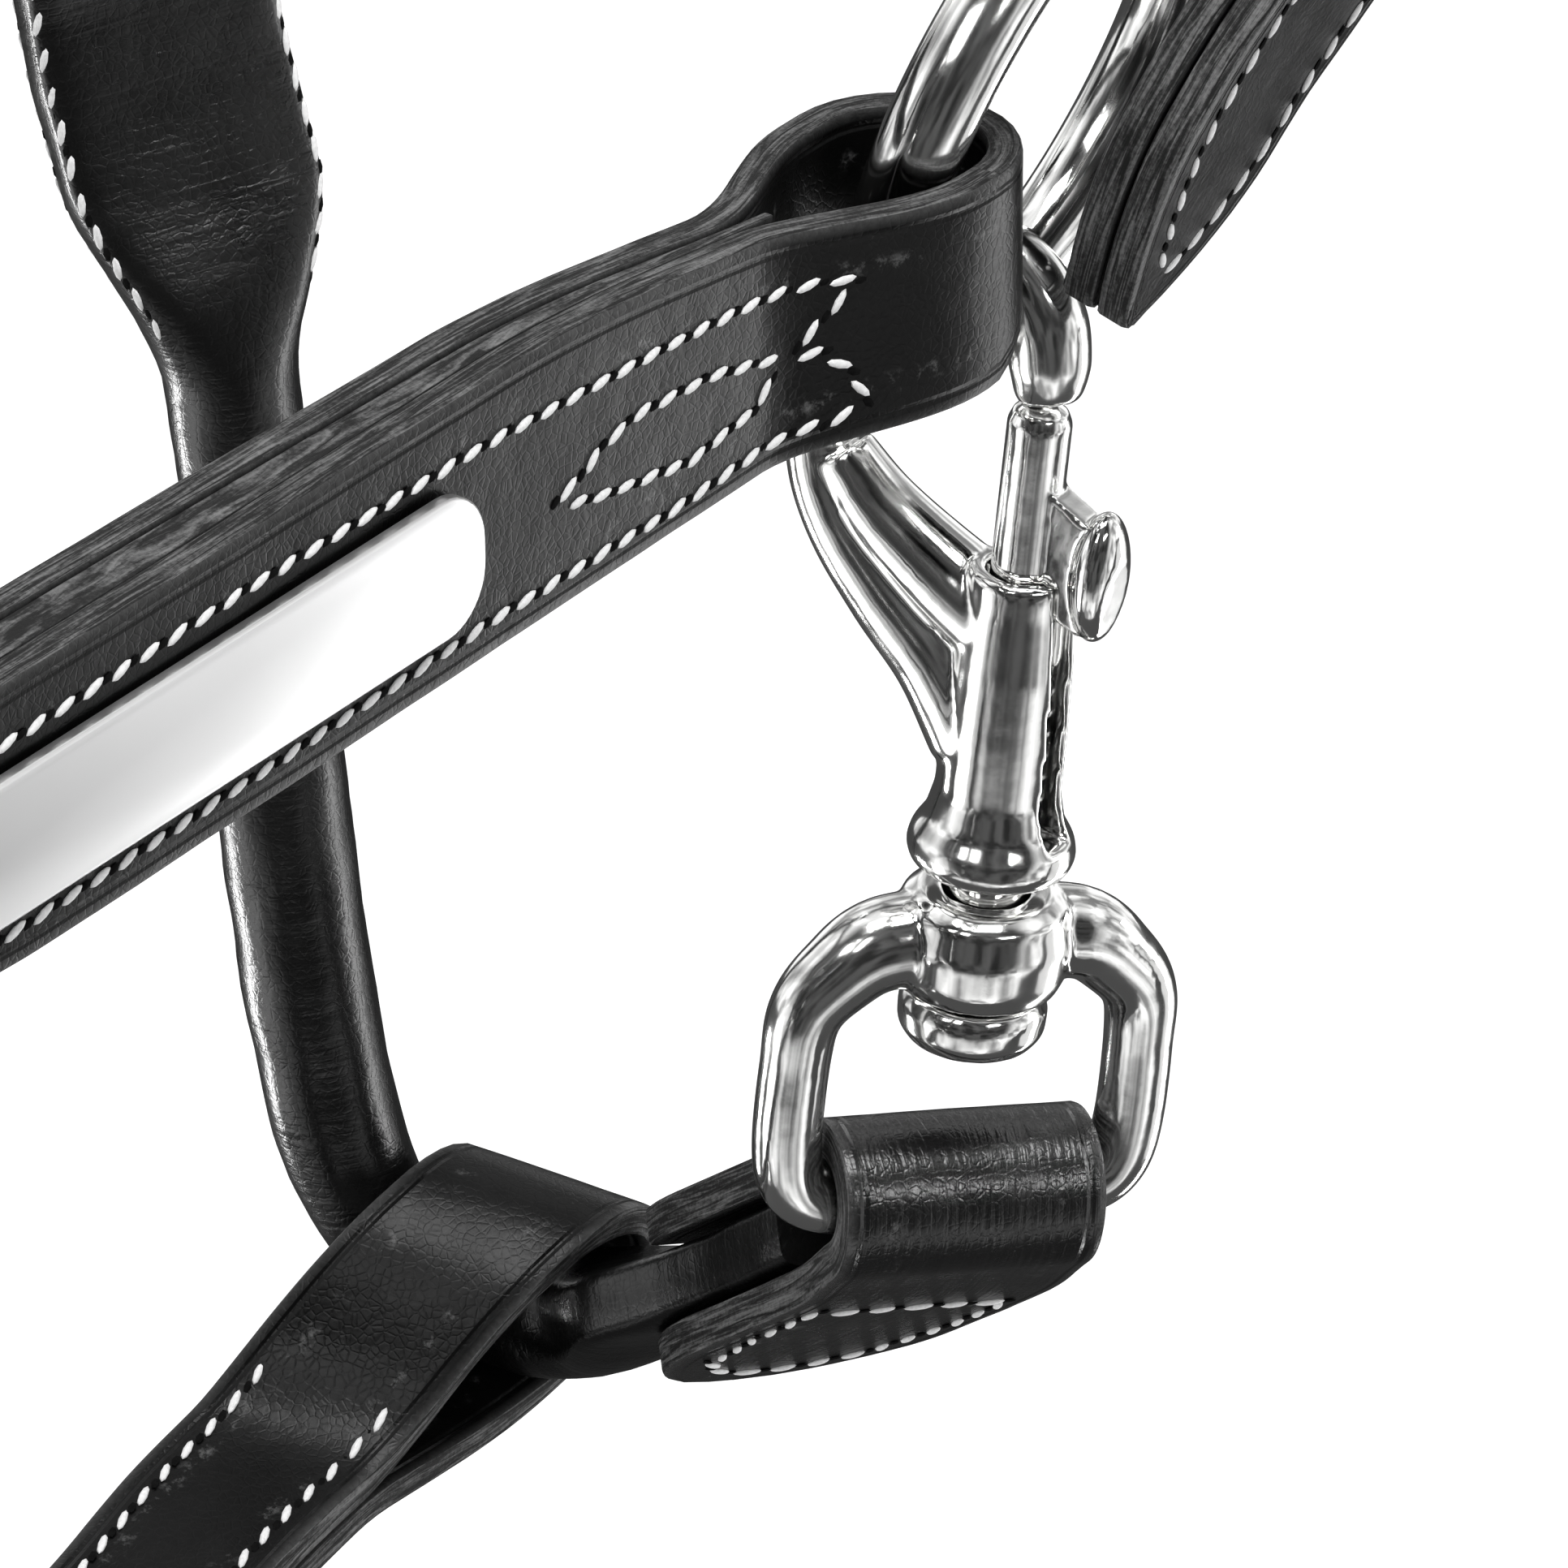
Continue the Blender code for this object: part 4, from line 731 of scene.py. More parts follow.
# Noseband
# A strap over the nose, turned back round both nose rings and lined between its two tails, with a
# row of stitches along each edge.
HALF = (PLY + SEAM) / 2
EDGE_ROW = 9.4
nose_x = NEAR_NOSE.x
near_top, near_fold, _ = fold_at_ring(NEAR_NOSE, Y_AXIS, Vector((nose_x, -49.0, -150.0)), X_AXIS)
off_top, far_fold, _ = fold_at_ring(OFF_NOSE, Y_AXIS, Vector((nose_x, 49.0, -137.0)), X_AXIS)
arch = (
    (-49.0, -150.0),
    (-50.0, -120.0),
    (-43.0, -88.0),
    (-25.0, -64.0),
    (1.0, -55.0),
    (27.0, -61.0),
    (44.5, -82.0),
    (50.5, -110.0),
    (49.0, -137.0),
)
nose_line = StrapLine([near_top] + [(nose_x, y, z) for y, z in arch] + [off_top], [X_AXIS] * 11)
long = nose_line.length
outer = leather_sheet(laid(nose_line, hemmed(long, near_fold, far_fold, HALF, 42.0), STRAP_WIDTH))
keep_leather("nose_leather", outer, "noseband")
inner = [(42.6 + (long - 85.2) * k / 100, -HALF) for k in range(101)]
keep_leather("nose_lining", leather_sheet(laid(nose_line, inner, STRAP_WIDTH)), "noseband_lining")


def seams(line, half, folds, inset, start, end, ply=PLY, taper=FOLD_TAPER):
    """Rows of stitches along both edges and on both faces of a sewn strap."""

    def offset(distance):
        near = (folds[0] - half) * closing(distance, taper) if folds[0] else 0.0
        far = (folds[1] - half) * closing(line.length - distance, taper) if folds[1] else 0.0
        return half + ply / 2 + near + far

    rows = []
    for way in (1, -1):
        face = strap_face(line, offset, way)
        rows += [stitch_places(face, [(start, v), (end, v)]) for v in (inset, -inset)]
    return rows


sew("nose_stitching", seams(nose_line, HALF, (near_fold, far_fold), EDGE_ROW, 15.0, long - 15.0))

# Crown chape and its buckle
# A short doubled strap from the near ring carries a heel-bar buckle of bent nickel wire. Its tongue
# turns on the heel bar, in a slot cut through the fold.
CROWN_PLY, CROWN_CHAPE = 3.3, 68.0
BUCKLE_WIRE, TONGUE_WIRE = 2.0, 1.3
rake, flare = math.radians(48.0), math.radians(11.0)
radial = near_level * math.cos(rake) + near_up * math.sin(rake)
chape_line = radial * math.cos(flare) + near_out * math.sin(flare)
chape_face = near_out * math.cos(flare) - radial * math.sin(flare)
chape_wide = chape_line.cross(chape_face).normalized()
ring_edge = NEAR_RING + radial * RING
chape_start, chape_fold, _ = fold_at_ring(NEAR_RING, near_out, ring_edge + chape_line, chape_wide, CROWN_PLY)
buckle_at = chape_start + chape_line * CROWN_CHAPE
crown_buckle = turned_to(buckle_at, chape_wide, chape_line, chape_face)
chape_half = (CROWN_PLY + SEAM) / 2
bar_fold = BUCKLE_WIRE + 0.45 + CROWN_PLY / 2
chape = StrapLine([chape_start, chape_start.lerp(buckle_at, 0.5), buckle_at], [chape_wide] * 3)
track = folded(CROWN_CHAPE, chape_fold, bar_fold, chape_half, taper=20.0)
sheet = leather_sheet(laid(chape, track, STRAP_WIDTH, ply=CROWN_PLY), closed=True)
piece = keep_leather("crown_chape_leather", sheet, "near_crown_chape")


def tongue_slot():
    """The slot in a chape's fold, where the tongue swings."""
    bm = bmesh.new()
    size = Matrix.Diagonal((4.2, 15.0, 16.0, 1))
    bmesh.ops.create_cube(bm, size=1.0, matrix=Matrix.Translation((0, 0.8, 0)) @ size)
    upright = [e for e in bm.edges if abs(e.verts[0].co.z - e.verts[1].co.z) > 1]
    bmesh.ops.bevel(bm, geom=upright, offset=2.0, segments=5, profile=0.5, affect="EDGES", material=-1)
    return bm


join_or_cut(piece, tongue_slot(), "DIFFERENCE", crown_buckle)
crown_chape_rows = seams(chape, chape_half, (chape_fold, bar_fold), EDGE_ROW, 14.0, 54.0, CROWN_PLY, 20.0)
sew("crown_chape_stitching", crown_chape_rows)


def bent_bar(path, across, sides=20, closed=False):
    """A round bar drawn out along a path of (point, radius); across is never along the path."""
    bm = bmesh.new()
    count = len(path)
    last = None
    for i in range(count + (1 if closed else 0)):
        point, radius = path[i % count]
        before = path[(i - 1) % count][0] if closed or i else point
        after = path[(i + 1) % count][0] if closed or i < count - 1 else point
        along = (after - before).normalized()
        first = along.cross(across).normalized()
        sized = Matrix.Diagonal((radius, radius, radius, 1.0))
        here = turned_to(point, first, along.cross(first), along) @ sized
        if last is None:
            bmesh.ops.create_circle(bm, segments=sides, radius=1.0, matrix=here, cap_ends=not closed)
            edges = bm.edges[:]
        else:
            drawn = bmesh.ops.extrude_edge_only(bm, edges=edges)["geom"]
            ring = [v for v in drawn if isinstance(v, bmesh.types.BMVert)]
            edges = [e for e in drawn if isinstance(e, bmesh.types.BMEdge)]
            edges = [e for e in edges if all(v in set(ring) for v in e.verts)]
            bmesh.ops.transform(bm, matrix=here @ last.inverted(), verts=ring)
        last = here
    if closed:
        bmesh.ops.remove_doubles(bm, verts=bm.verts, dist=1e-3)
    else:
        bmesh.ops.holes_fill(bm, edges=edges, sides=0)
    return bm


RISE, REACH, TONGUE_TURNS = 7.0, 24.0, 21


def tongue_line():
    """The middle of a buckle's tongue, round the heel bar and out over the far bar."""
    eye = BUCKLE_WIRE + 0.3 + TONGUE_WIRE
    rest = RISE + BUCKLE_WIRE + 0.3 + TONGUE_WIRE
    turns = [math.radians(14.0 * k) for k in reversed(range(TONGUE_TURNS))]
    line = [(-math.sin(a) * eye, math.cos(a) * eye) for a in turns]
    line += [(part * REACH, eye + part * (rest - eye)) for part in (0.14, 0.28, 0.45, 0.62, 0.8)]
    return line + [(REACH + 1.2, rest + 0.45), (REACH + 2.4, rest + 0.9)]


def rounded_corners(half_wide, low, high, corner, steps):
    """Points round the four corners of a frame, from its upper right one on."""
    points = []
    for x, y, first in (
        (half_wide - corner, high - corner, 0),
        (corner - half_wide, high - corner, 90),
        (corner - half_wide, low + corner, 180),
        (half_wide - corner, low + corner, 270),
    ):
        turns = [math.radians(first + 90 * k / steps) for k in range(steps + 1)]
        points += [(x + corner * math.cos(a), y + corner * math.sin(a)) for a in turns]
    return points


def wire_buckle(prefix, place):
    """A rounded frame of bent wire with its raised far bar, and the tongue on its heel bar."""
    corners = rounded_corners(15.4, 0.0, REACH, 3.2, 8)
    path = [(Vector((x, y, RISE * y / REACH)), BUCKLE_WIRE) for x, y in corners]
    tilt = Vector((0, -RISE, REACH)).normalized()
    frame_name, tongue_name = prefix + "_buckle_frame", prefix + "_buckle_tongue"
    bent = bent_bar(path, tilt, closed=True)
    keep("bent_" + frame_name, bent, [nickel], "straps", [frame_name], place)
    line = tongue_line()
    sizes = [TONGUE_WIRE] * (len(line) - 2) + [1.1, 0.6]
    path = [(Vector((0, y, z)), size) for (y, z), size in zip(line, sizes)]
    bent = bent_bar(path, X_AXIS, 14)
    keep("bent_" + tongue_name, bent, [nickel], prefix + "_tongue", [tongue_name], place)


wire_buckle("crown", crown_buckle)

# Crown strap
# Two plies sewn together run from the off ring over the poll, down through the buckle and its
# keepers, to the pointed end that hangs free beside the near ring. The holes are punched through both.
HOLE, HOLE_PITCH, CROWN_ROW = 2.2, 19.0, 9.3
crown_half = CROWN_PLY + SEAM / 2
billet_low = CROWN_PLY + 0.5 + crown_half
over_bar = bar_fold + CROWN_PLY / 2 + 0.4 + crown_half
under_bar = RISE - 2.5 - crown_half
beside_ring = [
    NEAR_RING + near_level * level + near_up * up + near_out * out
    for level, up, out in ((-1.0, -15.0, 12.0), (10.5, 5.0, 13.0), (20.5, 22.0, 15.0))
]
through_buckle = [
    (-53.0, 9.4),
    (-40.0, billet_low + 0.1),
    (-26.0, billet_low),
    (-13.0, billet_low + 0.75),
    (0.0, over_bar),
    (REACH / 2, (over_bar + under_bar) / 2),
    (REACH, under_bar),
    (38.0, under_bar - 2.0),
]
through_buckle = [crown_buckle @ Vector((0, y, z)) for y, z in through_buckle]
crown_next = Vector((-111.4, 56.2, -109.9))
crown_end, crown_fold, crown_wide = fold_at_ring(OFF_RING, off_out, crown_next, off_level, CROWN_PLY)
over_poll = [
    (-29.0, -92.0, -78.0),
    (-14.0, -75.0, -36.0),
    (-4.0, -42.0, -8.0),
    (0.0, 0.0, crown_half),
    (-9.0, 40.0, -9.0),
    (-36.0, 66.0, -40.0),
    (-76.0, 68.0, -78.0),
]
poll_widths = [
    (0.84, 0.2, -0.5),
    (0.92, 0.12, -0.37),
    (0.98, 0.0, -0.2),
    (1.0, 0.0, 0.0),
    (0.96, -0.12, -0.25),
    (0.82, -0.15, -0.55),
    (0.75, -0.2, -0.62),
]
crown_line = StrapLine(
    beside_ring + through_buckle + over_poll + [crown_next, crown_end],
    [chape_wide] * 11 + poll_widths + [crown_wide] * 2,
)


def pointed(distance):
    """The billet's width, rounded in to its tip."""
    return STRAP_WIDTH * max(0.02, math.sin(math.pi / 2 * min(1.0, (distance + 2.0) / 20.0))) ** 0.9


tip = [-1.6, -1.0, -0.2, 0.8, 2.0, 3.4, 5.0, 7.0, 9.0, 11.0, 13.0, 15.0, 17.0]
long = crown_line.length
outer = [(d, chape_half) for d in tip]
outer += [(d, s) for d, s in hemmed(long, 0.0, crown_fold, chape_half, 48.0) if d > 18.0]
inner = [(d, -chape_half) for d, s in outer if s > 0 and d < long - 48.4]
bar_top = crown_buckle @ Vector((0, 0, over_bar))
bar_reach = min(crown_line.reach, key=lambda d: (crown_line.at(d)[0] - bar_top).length)
used_hole = bar_reach + REACH / 2


def punches(line, places):
    """Round punches square through a strap."""
    bm = bmesh.new()
    for distance in places:
        point, along, across, _ = line.at(distance)
        here = turned_to(point, along, across, along.cross(across))
        bmesh.ops.create_cone(
            bm, cap_ends=True, segments=20, radius1=HOLE, radius2=HOLE, depth=20.0, matrix=here
        )
    return bm


def tongue_hole():
    """The hole that the tongue has drawn along itself."""
    line = tongue_line()
    start, end = Vector((0, *line[TONGUE_TURNS])), Vector((0, *line[-1]))
    along = (end - start).normalized()
    lift = Vector((0, 0, 0.5))
    return bent_bar([(start - along * 6.0 + lift, HOLE), (end + along * 8.0 + lift, HOLE)], X_AXIS, 18)


punched = [used_hole + HOLE_PITCH * k for k in (-4, -3, -2, 2)]
plies = (("crown_leather", outer, "crown_strap"), ("crown_underside", inner, "crown_lining"))
for name, track, node_name in plies:
    piece = keep_leather(name, leather_sheet(laid(crown_line, track, pointed, ply=CROWN_PLY)), node_name)
    join_or_cut(piece, tongue_hole(), "DIFFERENCE", crown_buckle)
    join_or_cut(piece, punches(crown_line, punched), "DIFFERENCE")


def tip_row(distance):
    """How far out the stitches run, drawn in towards the billet's tip."""
    return CROWN_ROW * math.sin(math.pi / 2 * min(1.0, max(0.0, distance - 4.0) / 17.0)) ** 0.8


def crown_offset(distance):
    return crown_half + (crown_fold - chape_half) * closing(long - distance, FOLD_TAPER)


rows = []
for way in (1, -1):
    face = strap_face(crown_line, crown_offset, way)
    for edge in (1, -1):
        curve = [(4.2 + k * 0.9, edge * tip_row(4.2 + k * 0.9)) for k in range(20)]
        rows.append(stitch_places(face, curve + [(long - 14.0, edge * CROWN_ROW)]))
sew("crown_stitching", rows)


def band_keeper(name, place, back, low, high, body):
    """A narrow leather band round the straps, its joint sewn on the inside."""
    half_wide = STRAP_WIDTH / 2 + 0.7 + 1.1
    wide_way = place.to_3x3() @ Y_AXIS
    corners = rounded_corners(half_wide, low - 1.6, high + 1.6, 2.4, 6)
    stations = [(place @ Vector((x, -back, z)), wide_way, 9.0, 2.2) for x, z in corners]
    keep_leather("band_" + name, leather_sheet(stations, closed=True, cells=4, ripple=0.0), name, body)


top_of_billet = billet_low + crown_half
band_keeper("crown_fixed_keeper", crown_buckle, 12.0, -CROWN_PLY - 1.9, top_of_billet + 1.7, "straps")
band_keeper("crown_running_keeper", crown_buckle, 31.0, -CROWN_PLY - 0.15, top_of_billet + 0.5, "keeper")

# Chin straps
# A plain doubled strap on the off side, and on the near side a chape with a buckle and a single
# billet, join the nose rings to the lead ring under the chin.
CHIN_CHAPE = 38.0
middle = OFF_NOSE.lerp(LEAD_RING, 0.55) + Y_AXIS * 8.0
off_low, low_fold, _ = fold_at_ring(OFF_NOSE, Y_AXIS, middle, X_AXIS)
off_lead, lead_fold, _ = fold_at_ring(LEAD_RING, Z_AXIS, middle, X_AXIS)
off_chin = StrapLine([off_low, middle, off_lead], [X_AXIS] * 3)
track = folded(off_chin.length, low_fold, lead_fold, HALF)
sheet = leather_sheet(laid(off_chin, track, STRAP_WIDTH), closed=True)
keep_leather("off_chin_leather", sheet, "off_chin_strap")
rows = seams(off_chin, HALF, (low_fold, lead_fold), EDGE_ROW, 15.0, off_chin.length - 15.0)

lead_wire = LEAD_RING - Y_AXIS * RING
line = (lead_wire - NEAR_NOSE + Z_AXIS * RING).normalized()
face = X_AXIS.cross(line).normalized()
face = face if face.y < 0 else -face
wide = line.cross(face)
near_low, low_fold, _ = fold_at_ring(NEAR_NOSE, Y_AXIS, lead_wire, X_AXIS)
bar = near_low + line * CHIN_CHAPE
chin_buckle = turned_to(bar, wide, line, face)
chin_chape = StrapLine([near_low, near_low.lerp(bar, 0.5), bar], [wide] * 3)
chin_fold = BUCKLE_WIRE + 0.45 + PLY / 2
track = folded(CHIN_CHAPE, low_fold, chin_fold, HALF, taper=19.0)
sheet = leather_sheet(laid(chin_chape, track, STRAP_WIDTH), closed=True)
piece = keep_leather("chin_chape_leather", sheet, "chin_chape")
join_or_cut(piece, tongue_slot(), "DIFFERENCE", chin_buckle)
rows += seams(chin_chape, HALF, (low_fold, chin_fold), EDGE_ROW, 13.0, 27.0, taper=19.0)
wire_buckle("chin", chin_buckle)
over = chin_fold + PLY + 0.4 - HALF
under = RISE - BUCKLE_WIRE - 0.6 - PLY / 2 - HALF
near_lead, lead_fold, _ = fold_at_ring(LEAD_RING, Z_AXIS, bar, X_AXIS)
billet = [
    (-26.0, 9.5),
    (-12.0, over - 0.4),
    (0.0, over),
    (REACH / 2, (over + under) / 2),
    (REACH, under),
    (REACH + 12.0, under - 0.6),
]
chin_billet = StrapLine([chin_buckle @ Vector((0, y, z)) for y, z in billet] + [near_lead], [wide] * 7)
long = chin_billet.length
track = [(d, HALF) for d in tip] + [(d, s) for d, s in hemmed(long, 0.0, lead_fold, HALF, 24.0) if d > 18.0]
sheet = leather_sheet(laid(chin_billet, track, pointed))
piece = keep_leather("chin_billet_leather", sheet, "near_chin_strap")
join_or_cut(piece, tongue_hole(), "DIFFERENCE", chin_buckle)
rows += seams(chin_billet, HALF, (0.0, lead_fold), EDGE_ROW, long - 23.0, long - 13.0)
sew("chin_stitching", rows)
band_keeper("chin_keeper", chin_buckle, 12.0, -chin_fold - PLY / 2, over + HALF + 2.15, "straps")

# Bolt snap
# The hook, barrel and swivel stem are one casting, smoothed and nickel plated. A sprung bolt with a
# thumb piece closes the hook, and the stem is riveted under the boss of the eye.
snap_up = Vector((0.051, -0.0786, 0.9956)).normalized()
snap_across = snap_up.cross(Vector((0.08, -0.997, -0.083))).normalized()
snap_top = Vector((-132.64, -54.3, -222.9))
snap_place = turned_to(snap_top, snap_across.cross(snap_up), snap_across, snap_up)


def revolved(profile, steps=48):
    """A solid turned about Z from (radius, height) points that start and end on the axis."""
    bm = bmesh.new()
    points = [bm.verts.new((r, 0.0, z)) for r, z in profile]
    for pair in zip(points, points[1:]):
        bm.edges.new(pair)
    spun(bm, steps)
    return bm


def swept(points, sizes, sides=28):
    """A smooth bar through points in the XZ plane, its radius eased from one size to the next."""
    line = StrapLine([(x, 0.0, z) for x, z in points], [Y_AXIS] * len(points), skewed=True)
    last = len(sizes) - 1
    path = []
    for k, point in enumerate(line.points):
        i = min(k // 12, last - 1)
        u = k / 12 - i
        path.append((point, sizes[i] + (sizes[i + 1] - sizes[i]) * u))
    every_other = path[::2] + ([path[-1]] if len(path) % 2 == 0 else [])
    return bent_bar(every_other, Y_AXIS, sides)


def cast(name, shapes, cuts, place, grain, body, node_name, smooth):
    """Shapes run together in one casting, cut, and smoothed as by tumbling."""
    piece = keep(name, shapes[0], [nickel], body, [node_name], place)
    for shape in shapes[1:]:
        join_or_cut(piece, shape, "UNION", place)
    for shape in cuts:
        join_or_cut(piece, shape, "DIFFERENCE", place)
    skin = piece.modifiers.new("skin", "REMESH")
    skin.mode = "VOXEL"
    skin.voxel_size = grain * MM
    soften = piece.modifiers.new("soften", "SMOOTH")
    soften.iterations = smooth
    made_solid(piece)
    piece.data.shade_smooth()
    return piece


barrel = (
    (0.0, -21.6),
    (4.5, -21.6),
    (4.9, -22.2),
    (5.0, -25.0),
    (5.5, -31.0),
    (5.7, -38.0),
    (5.75, -44.0),
    (6.4, -46.8),
    (7.5, -48.6),
    (7.8, -50.0),
    (7.3, -51.3),
    (5.9, -51.9),
    (3.6, -52.1),
    (3.6, -64.4),
    (6.2, -64.7),
    (6.9, -66.0),
    (6.8, -68.2),
    (5.8, -69.6),
    (0.0, -69.9),
)
turns = [math.radians(22.5 * k) for k in range(9)]
arch = [(0.3 - 9.6 + 9.6 * math.cos(a), -1.3 + 9.6 * math.sin(a)) for a in turns]
arm = [(-19.9, -7.0), (-21.2, -12.5), (-21.0, -17.5), (-17.8, -23.0)]
arm += [(-12.4, -28.2), (-6.6, -33.0), (-2.0, -39.0)]
arch_sizes = (2.0, 3.0, 3.75, 3.8, 3.65, 3.5, 3.35, 3.3, 3.3, 3.3, 3.3)
arm_sizes = (3.2, 3.1, 3.2, 3.7, 4.3, 4.8, 5.2)
hook = swept([(0.5, -4.8), (0.4, -4.2)] + arch + arm, arch_sizes + arm_sizes)
root = swept([(-19.0, -16.0), (-14.2, -20.6), (-7.0, -25.0), (-1.0, -28.0)], (3.0, 3.7, 4.4, 4.8))
bore = revolved(((0.0, -19.0), (3.3, -19.0), (3.3, -49.0), (0.0, -49.0)), 32)
slot = bmesh.new()
slot_size = Matrix.Diagonal((12.0, 3.6, 29.0, 1))
bmesh.ops.create_cube(slot, size=1.0, matrix=Matrix.Translation((6.0, 0, -33.5)) @ slot_size)
cast("snap_casting", [revolved(barrel), hook, root], [bore, slot], snap_place, 0.25, "snap", "snap_body", 24)

bolt = revolved(((0.0, -5.1), (1.5, -5.3), (2.5, -5.9), (2.95, -7.0), (2.95, -32.0), (0.0, -32.0)), 32)
fin = bmesh.new()
outline = ((0.5, -11.8), (3.2, -13.4), (6.6, -15.2), (8.4, -17.0), (8.4, -24.6), (6.6, -26.0), (1.0, -24.0))
near = fin.faces.new([fin.verts.new((x, -1.6, z)) for x, z in outline])
grown = bmesh.ops.extrude_face_region(fin, geom=[near])["geom"]
bmesh.ops.translate(fin, verts=[v for v in grown if isinstance(v, bmesh.types.BMVert)], vec=(0, 3.2, 0))
thumb = bmesh.new()
knob = Matrix.Translation((7.6, 0, -20.2)) @ Matrix.Diagonal((2.4, 3.5, 6.4, 1))
bmesh.ops.create_uvsphere(thumb, u_segments=32, v_segments=20, radius=1.0, matrix=knob)
for vert in thumb.verts:
    vert.co.x = min(vert.co.x, 9.6 + 0.12 * (vert.co.z + 20.2) + 0.1 * vert.co.y)
cast("snap_plunger", [bolt, fin, thumb], [], snap_place, 0.2, "bolt", "snap_bolt", 10)

spring_steel, nodes = new_finish("spring_steel")
drawn = nodes.noise(nodes.place(), 900.0)
nodes.shade({
    "Base Color": nodes.mix(drawn, (0.36, 0.36, 0.37, 1.0), 0.52),
    "Metallic": 1.0,
    "Roughness": 0.35,
})
coil = []
for k in range(7 * 20 + 1):
    a = 2 * math.pi * k / 20
    coil.append((Vector((2.35 * math.cos(a), 2.35 * math.sin(a), -48.25 + 15.5 * k / 140)), 0.35))
coil = bent_bar(coil, Z_AXIS, 8)
spring = keep("coil_spring", coil, [spring_steel], "snap", ["snap_spring"], snap_place)
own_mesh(spring)

# Swivel eye
# A bent bar 6.5 mm thick with a round boss, cast in one and nickel plated. The stem of the snap
# turns in the boss, and the chape of the throat strap is rolled round the bottom bar.
EYE_WIRE = 3.25
eye_hint = Vector((0.763, -0.640, -0.089))
eye_side = (eye_hint - snap_up * eye_hint.dot(snap_up)).normalized()
eye_bar = snap_top - snap_up * 86.3
eye_place = turned_to(eye_bar, eye_side, eye_side.cross(snap_up).normalized(), snap_up)
half_eye = (
    (0.0, 27.0, 4.6),
    (9.0, 26.8, 4.4),
    (13.4, 23.8, 3.9),
    (16.0, 20.2, 3.5),
    (16.5, 15.0, EYE_WIRE),
    (16.5, 7.0, EYE_WIRE),
    (15.6, 2.6, EYE_WIRE),
    (13.0, 0.4, EYE_WIRE),
    (8.0, 0.0, EYE_WIRE),
)
loop = half_eye + tuple((-x, z, size) for x, z, size in reversed(half_eye))
bow = swept([(x, z) for x, z, _ in loop], [size for _, _, size in loop])
boss = revolved(((0.0, 32.1), (6.0, 32.1), (7.6, 30.9), (8.4, 27.7), (8.2, 24.3), (7.4, 22.4), (0.0, 22.4)))
free = revolved(((0.0, 36.3), (4.0, 36.3), (4.0, 16.3), (0.0, 16.3)))
cast("eye_casting", [bow, boss], [free], eye_place, 0.25, "eye", "snap_eye", 30)

# Throat strap
# Folded flat and sewn round the off ring, then rolled round a cord core and stitched shut, and
# flattened again where the chape takes its end.
ROLL, TOP_HALF, END_HALF = 6.3, 3.25, 3.6
rolled_leather = bridle_leather("rolled_leather", 0.0005, 0.002, 0.24, 0.65, 0.5, (1100.0, 0.0), 0.25)
throat_at = Vector((-130.0, -57.5, -190.0))
tail_down = (Vector((-0.050, 0.0786, -0.9956)) * 0.669 + Vector((0.643, 0.766, 0.0)) * 0.743).normalized()
tail_down = (tail_down - eye_side * tail_down.dot(eye_side)).normalized()


def beyond_eye(along, aside):
    """A point from the eye's bar towards the throat's roll."""
    return eye_bar + tail_down * along - eye_side * aside


throat_next = throat_at + Vector((-8.0, 97.1, -20.1))
throat_top, throat_fold, throat_wide = fold_at_ring(OFF_RING, off_out, throat_next, off_level)
hang = (
    (-8.0, 91.5, -41.0),
    (-8.0, 88.5, -57.0),
    (-8.0, 85.8, -78.0),
    (-8.0, 83.6, -100.3),
    (-8.0, 80.5, -122.0),
    (-6.6, 77.3, -138.0),
    (-4.4, 70.8, -147.3),
    (-1.6, 61.8, -150.8),
    (0.8, 52.0, -148.6),
)
throat_line = StrapLine(
    [throat_top, throat_next]
    + [throat_at + Vector(p) for p in hang]
    + [beyond_eye(33.0, 6.5), beyond_eye(12.0, 0.5)],
    [throat_wide, (0.85, -0.53, 0.0)] + [(0.82, -0.57, 0.0)] * 9 + [eye_side] * 2,
    skewed=True,
)
throat_long = throat_line.length


def throat_shape(distance):
    """Half width, half thickness and squareness: flat, rolled, then flat again."""
    into_roll = ease((distance - 46.0) / 22.0)
    out_of_roll = ease(1 - (throat_long - distance - 31.0) / 15.0)
    flat = max(1 - into_roll, out_of_roll)
    half = END_HALF if out_of_roll > 0 else TOP_HALF
    return ROLL + (12.2 - ROLL) * flat, ROLL + (half - ROLL) * flat, 2.0 + 4.0 * flat


def throat_skin(distance, turn):
    """The point on the rolled strap at a distance and an angle round it."""
    point, _, across, side = throat_line.at(distance)
    wide, thick, square = throat_shape(distance)
    c, s = math.cos(turn), math.sin(turn)
    x = wide * math.copysign(abs(c) ** (2 / square), c)
    y = thick * math.copysign(abs(s) ** (2 / square), s)
    return point + across * x + side * y


bm = bmesh.new()
edge_map = bm.loops.layers.uv.new("strap")
steps, around = 130, 40
bmesh.ops.create_grid(bm, x_segments=steps, y_segments=around, size=0.5)
for face in bm.faces:
    for corner in face.loops:
        corner[edge_map].uv = ((corner.vert.co.x + 0.5) * throat_long * MM, 0.006)
for vert in bm.verts:
    distance = 20.0 + (throat_long - 21.0) * (vert.co.x + 0.5)
    vert.co = throat_skin(distance, 2 * math.pi * (vert.co.y + 0.5))
bmesh.ops.remove_doubles(bm, verts=bm.verts, dist=1e-3)
bmesh.ops.holes_fill(bm, edges=[e for e in bm.edges if e.is_boundary], sides=0)
bm.normal_update()
for vert in bm.verts:
    vert.co += vert.normal * (noise.noise(vert.co * 0.16) * 0.22 + noise.noise(vert.co * 0.5) * 0.06)
side = [(d, s) for d, s in open_side(60.0, throat_fold, 0.0, HALF, taper=19.0) if d < 20.0] + [(26.0, HALF)]
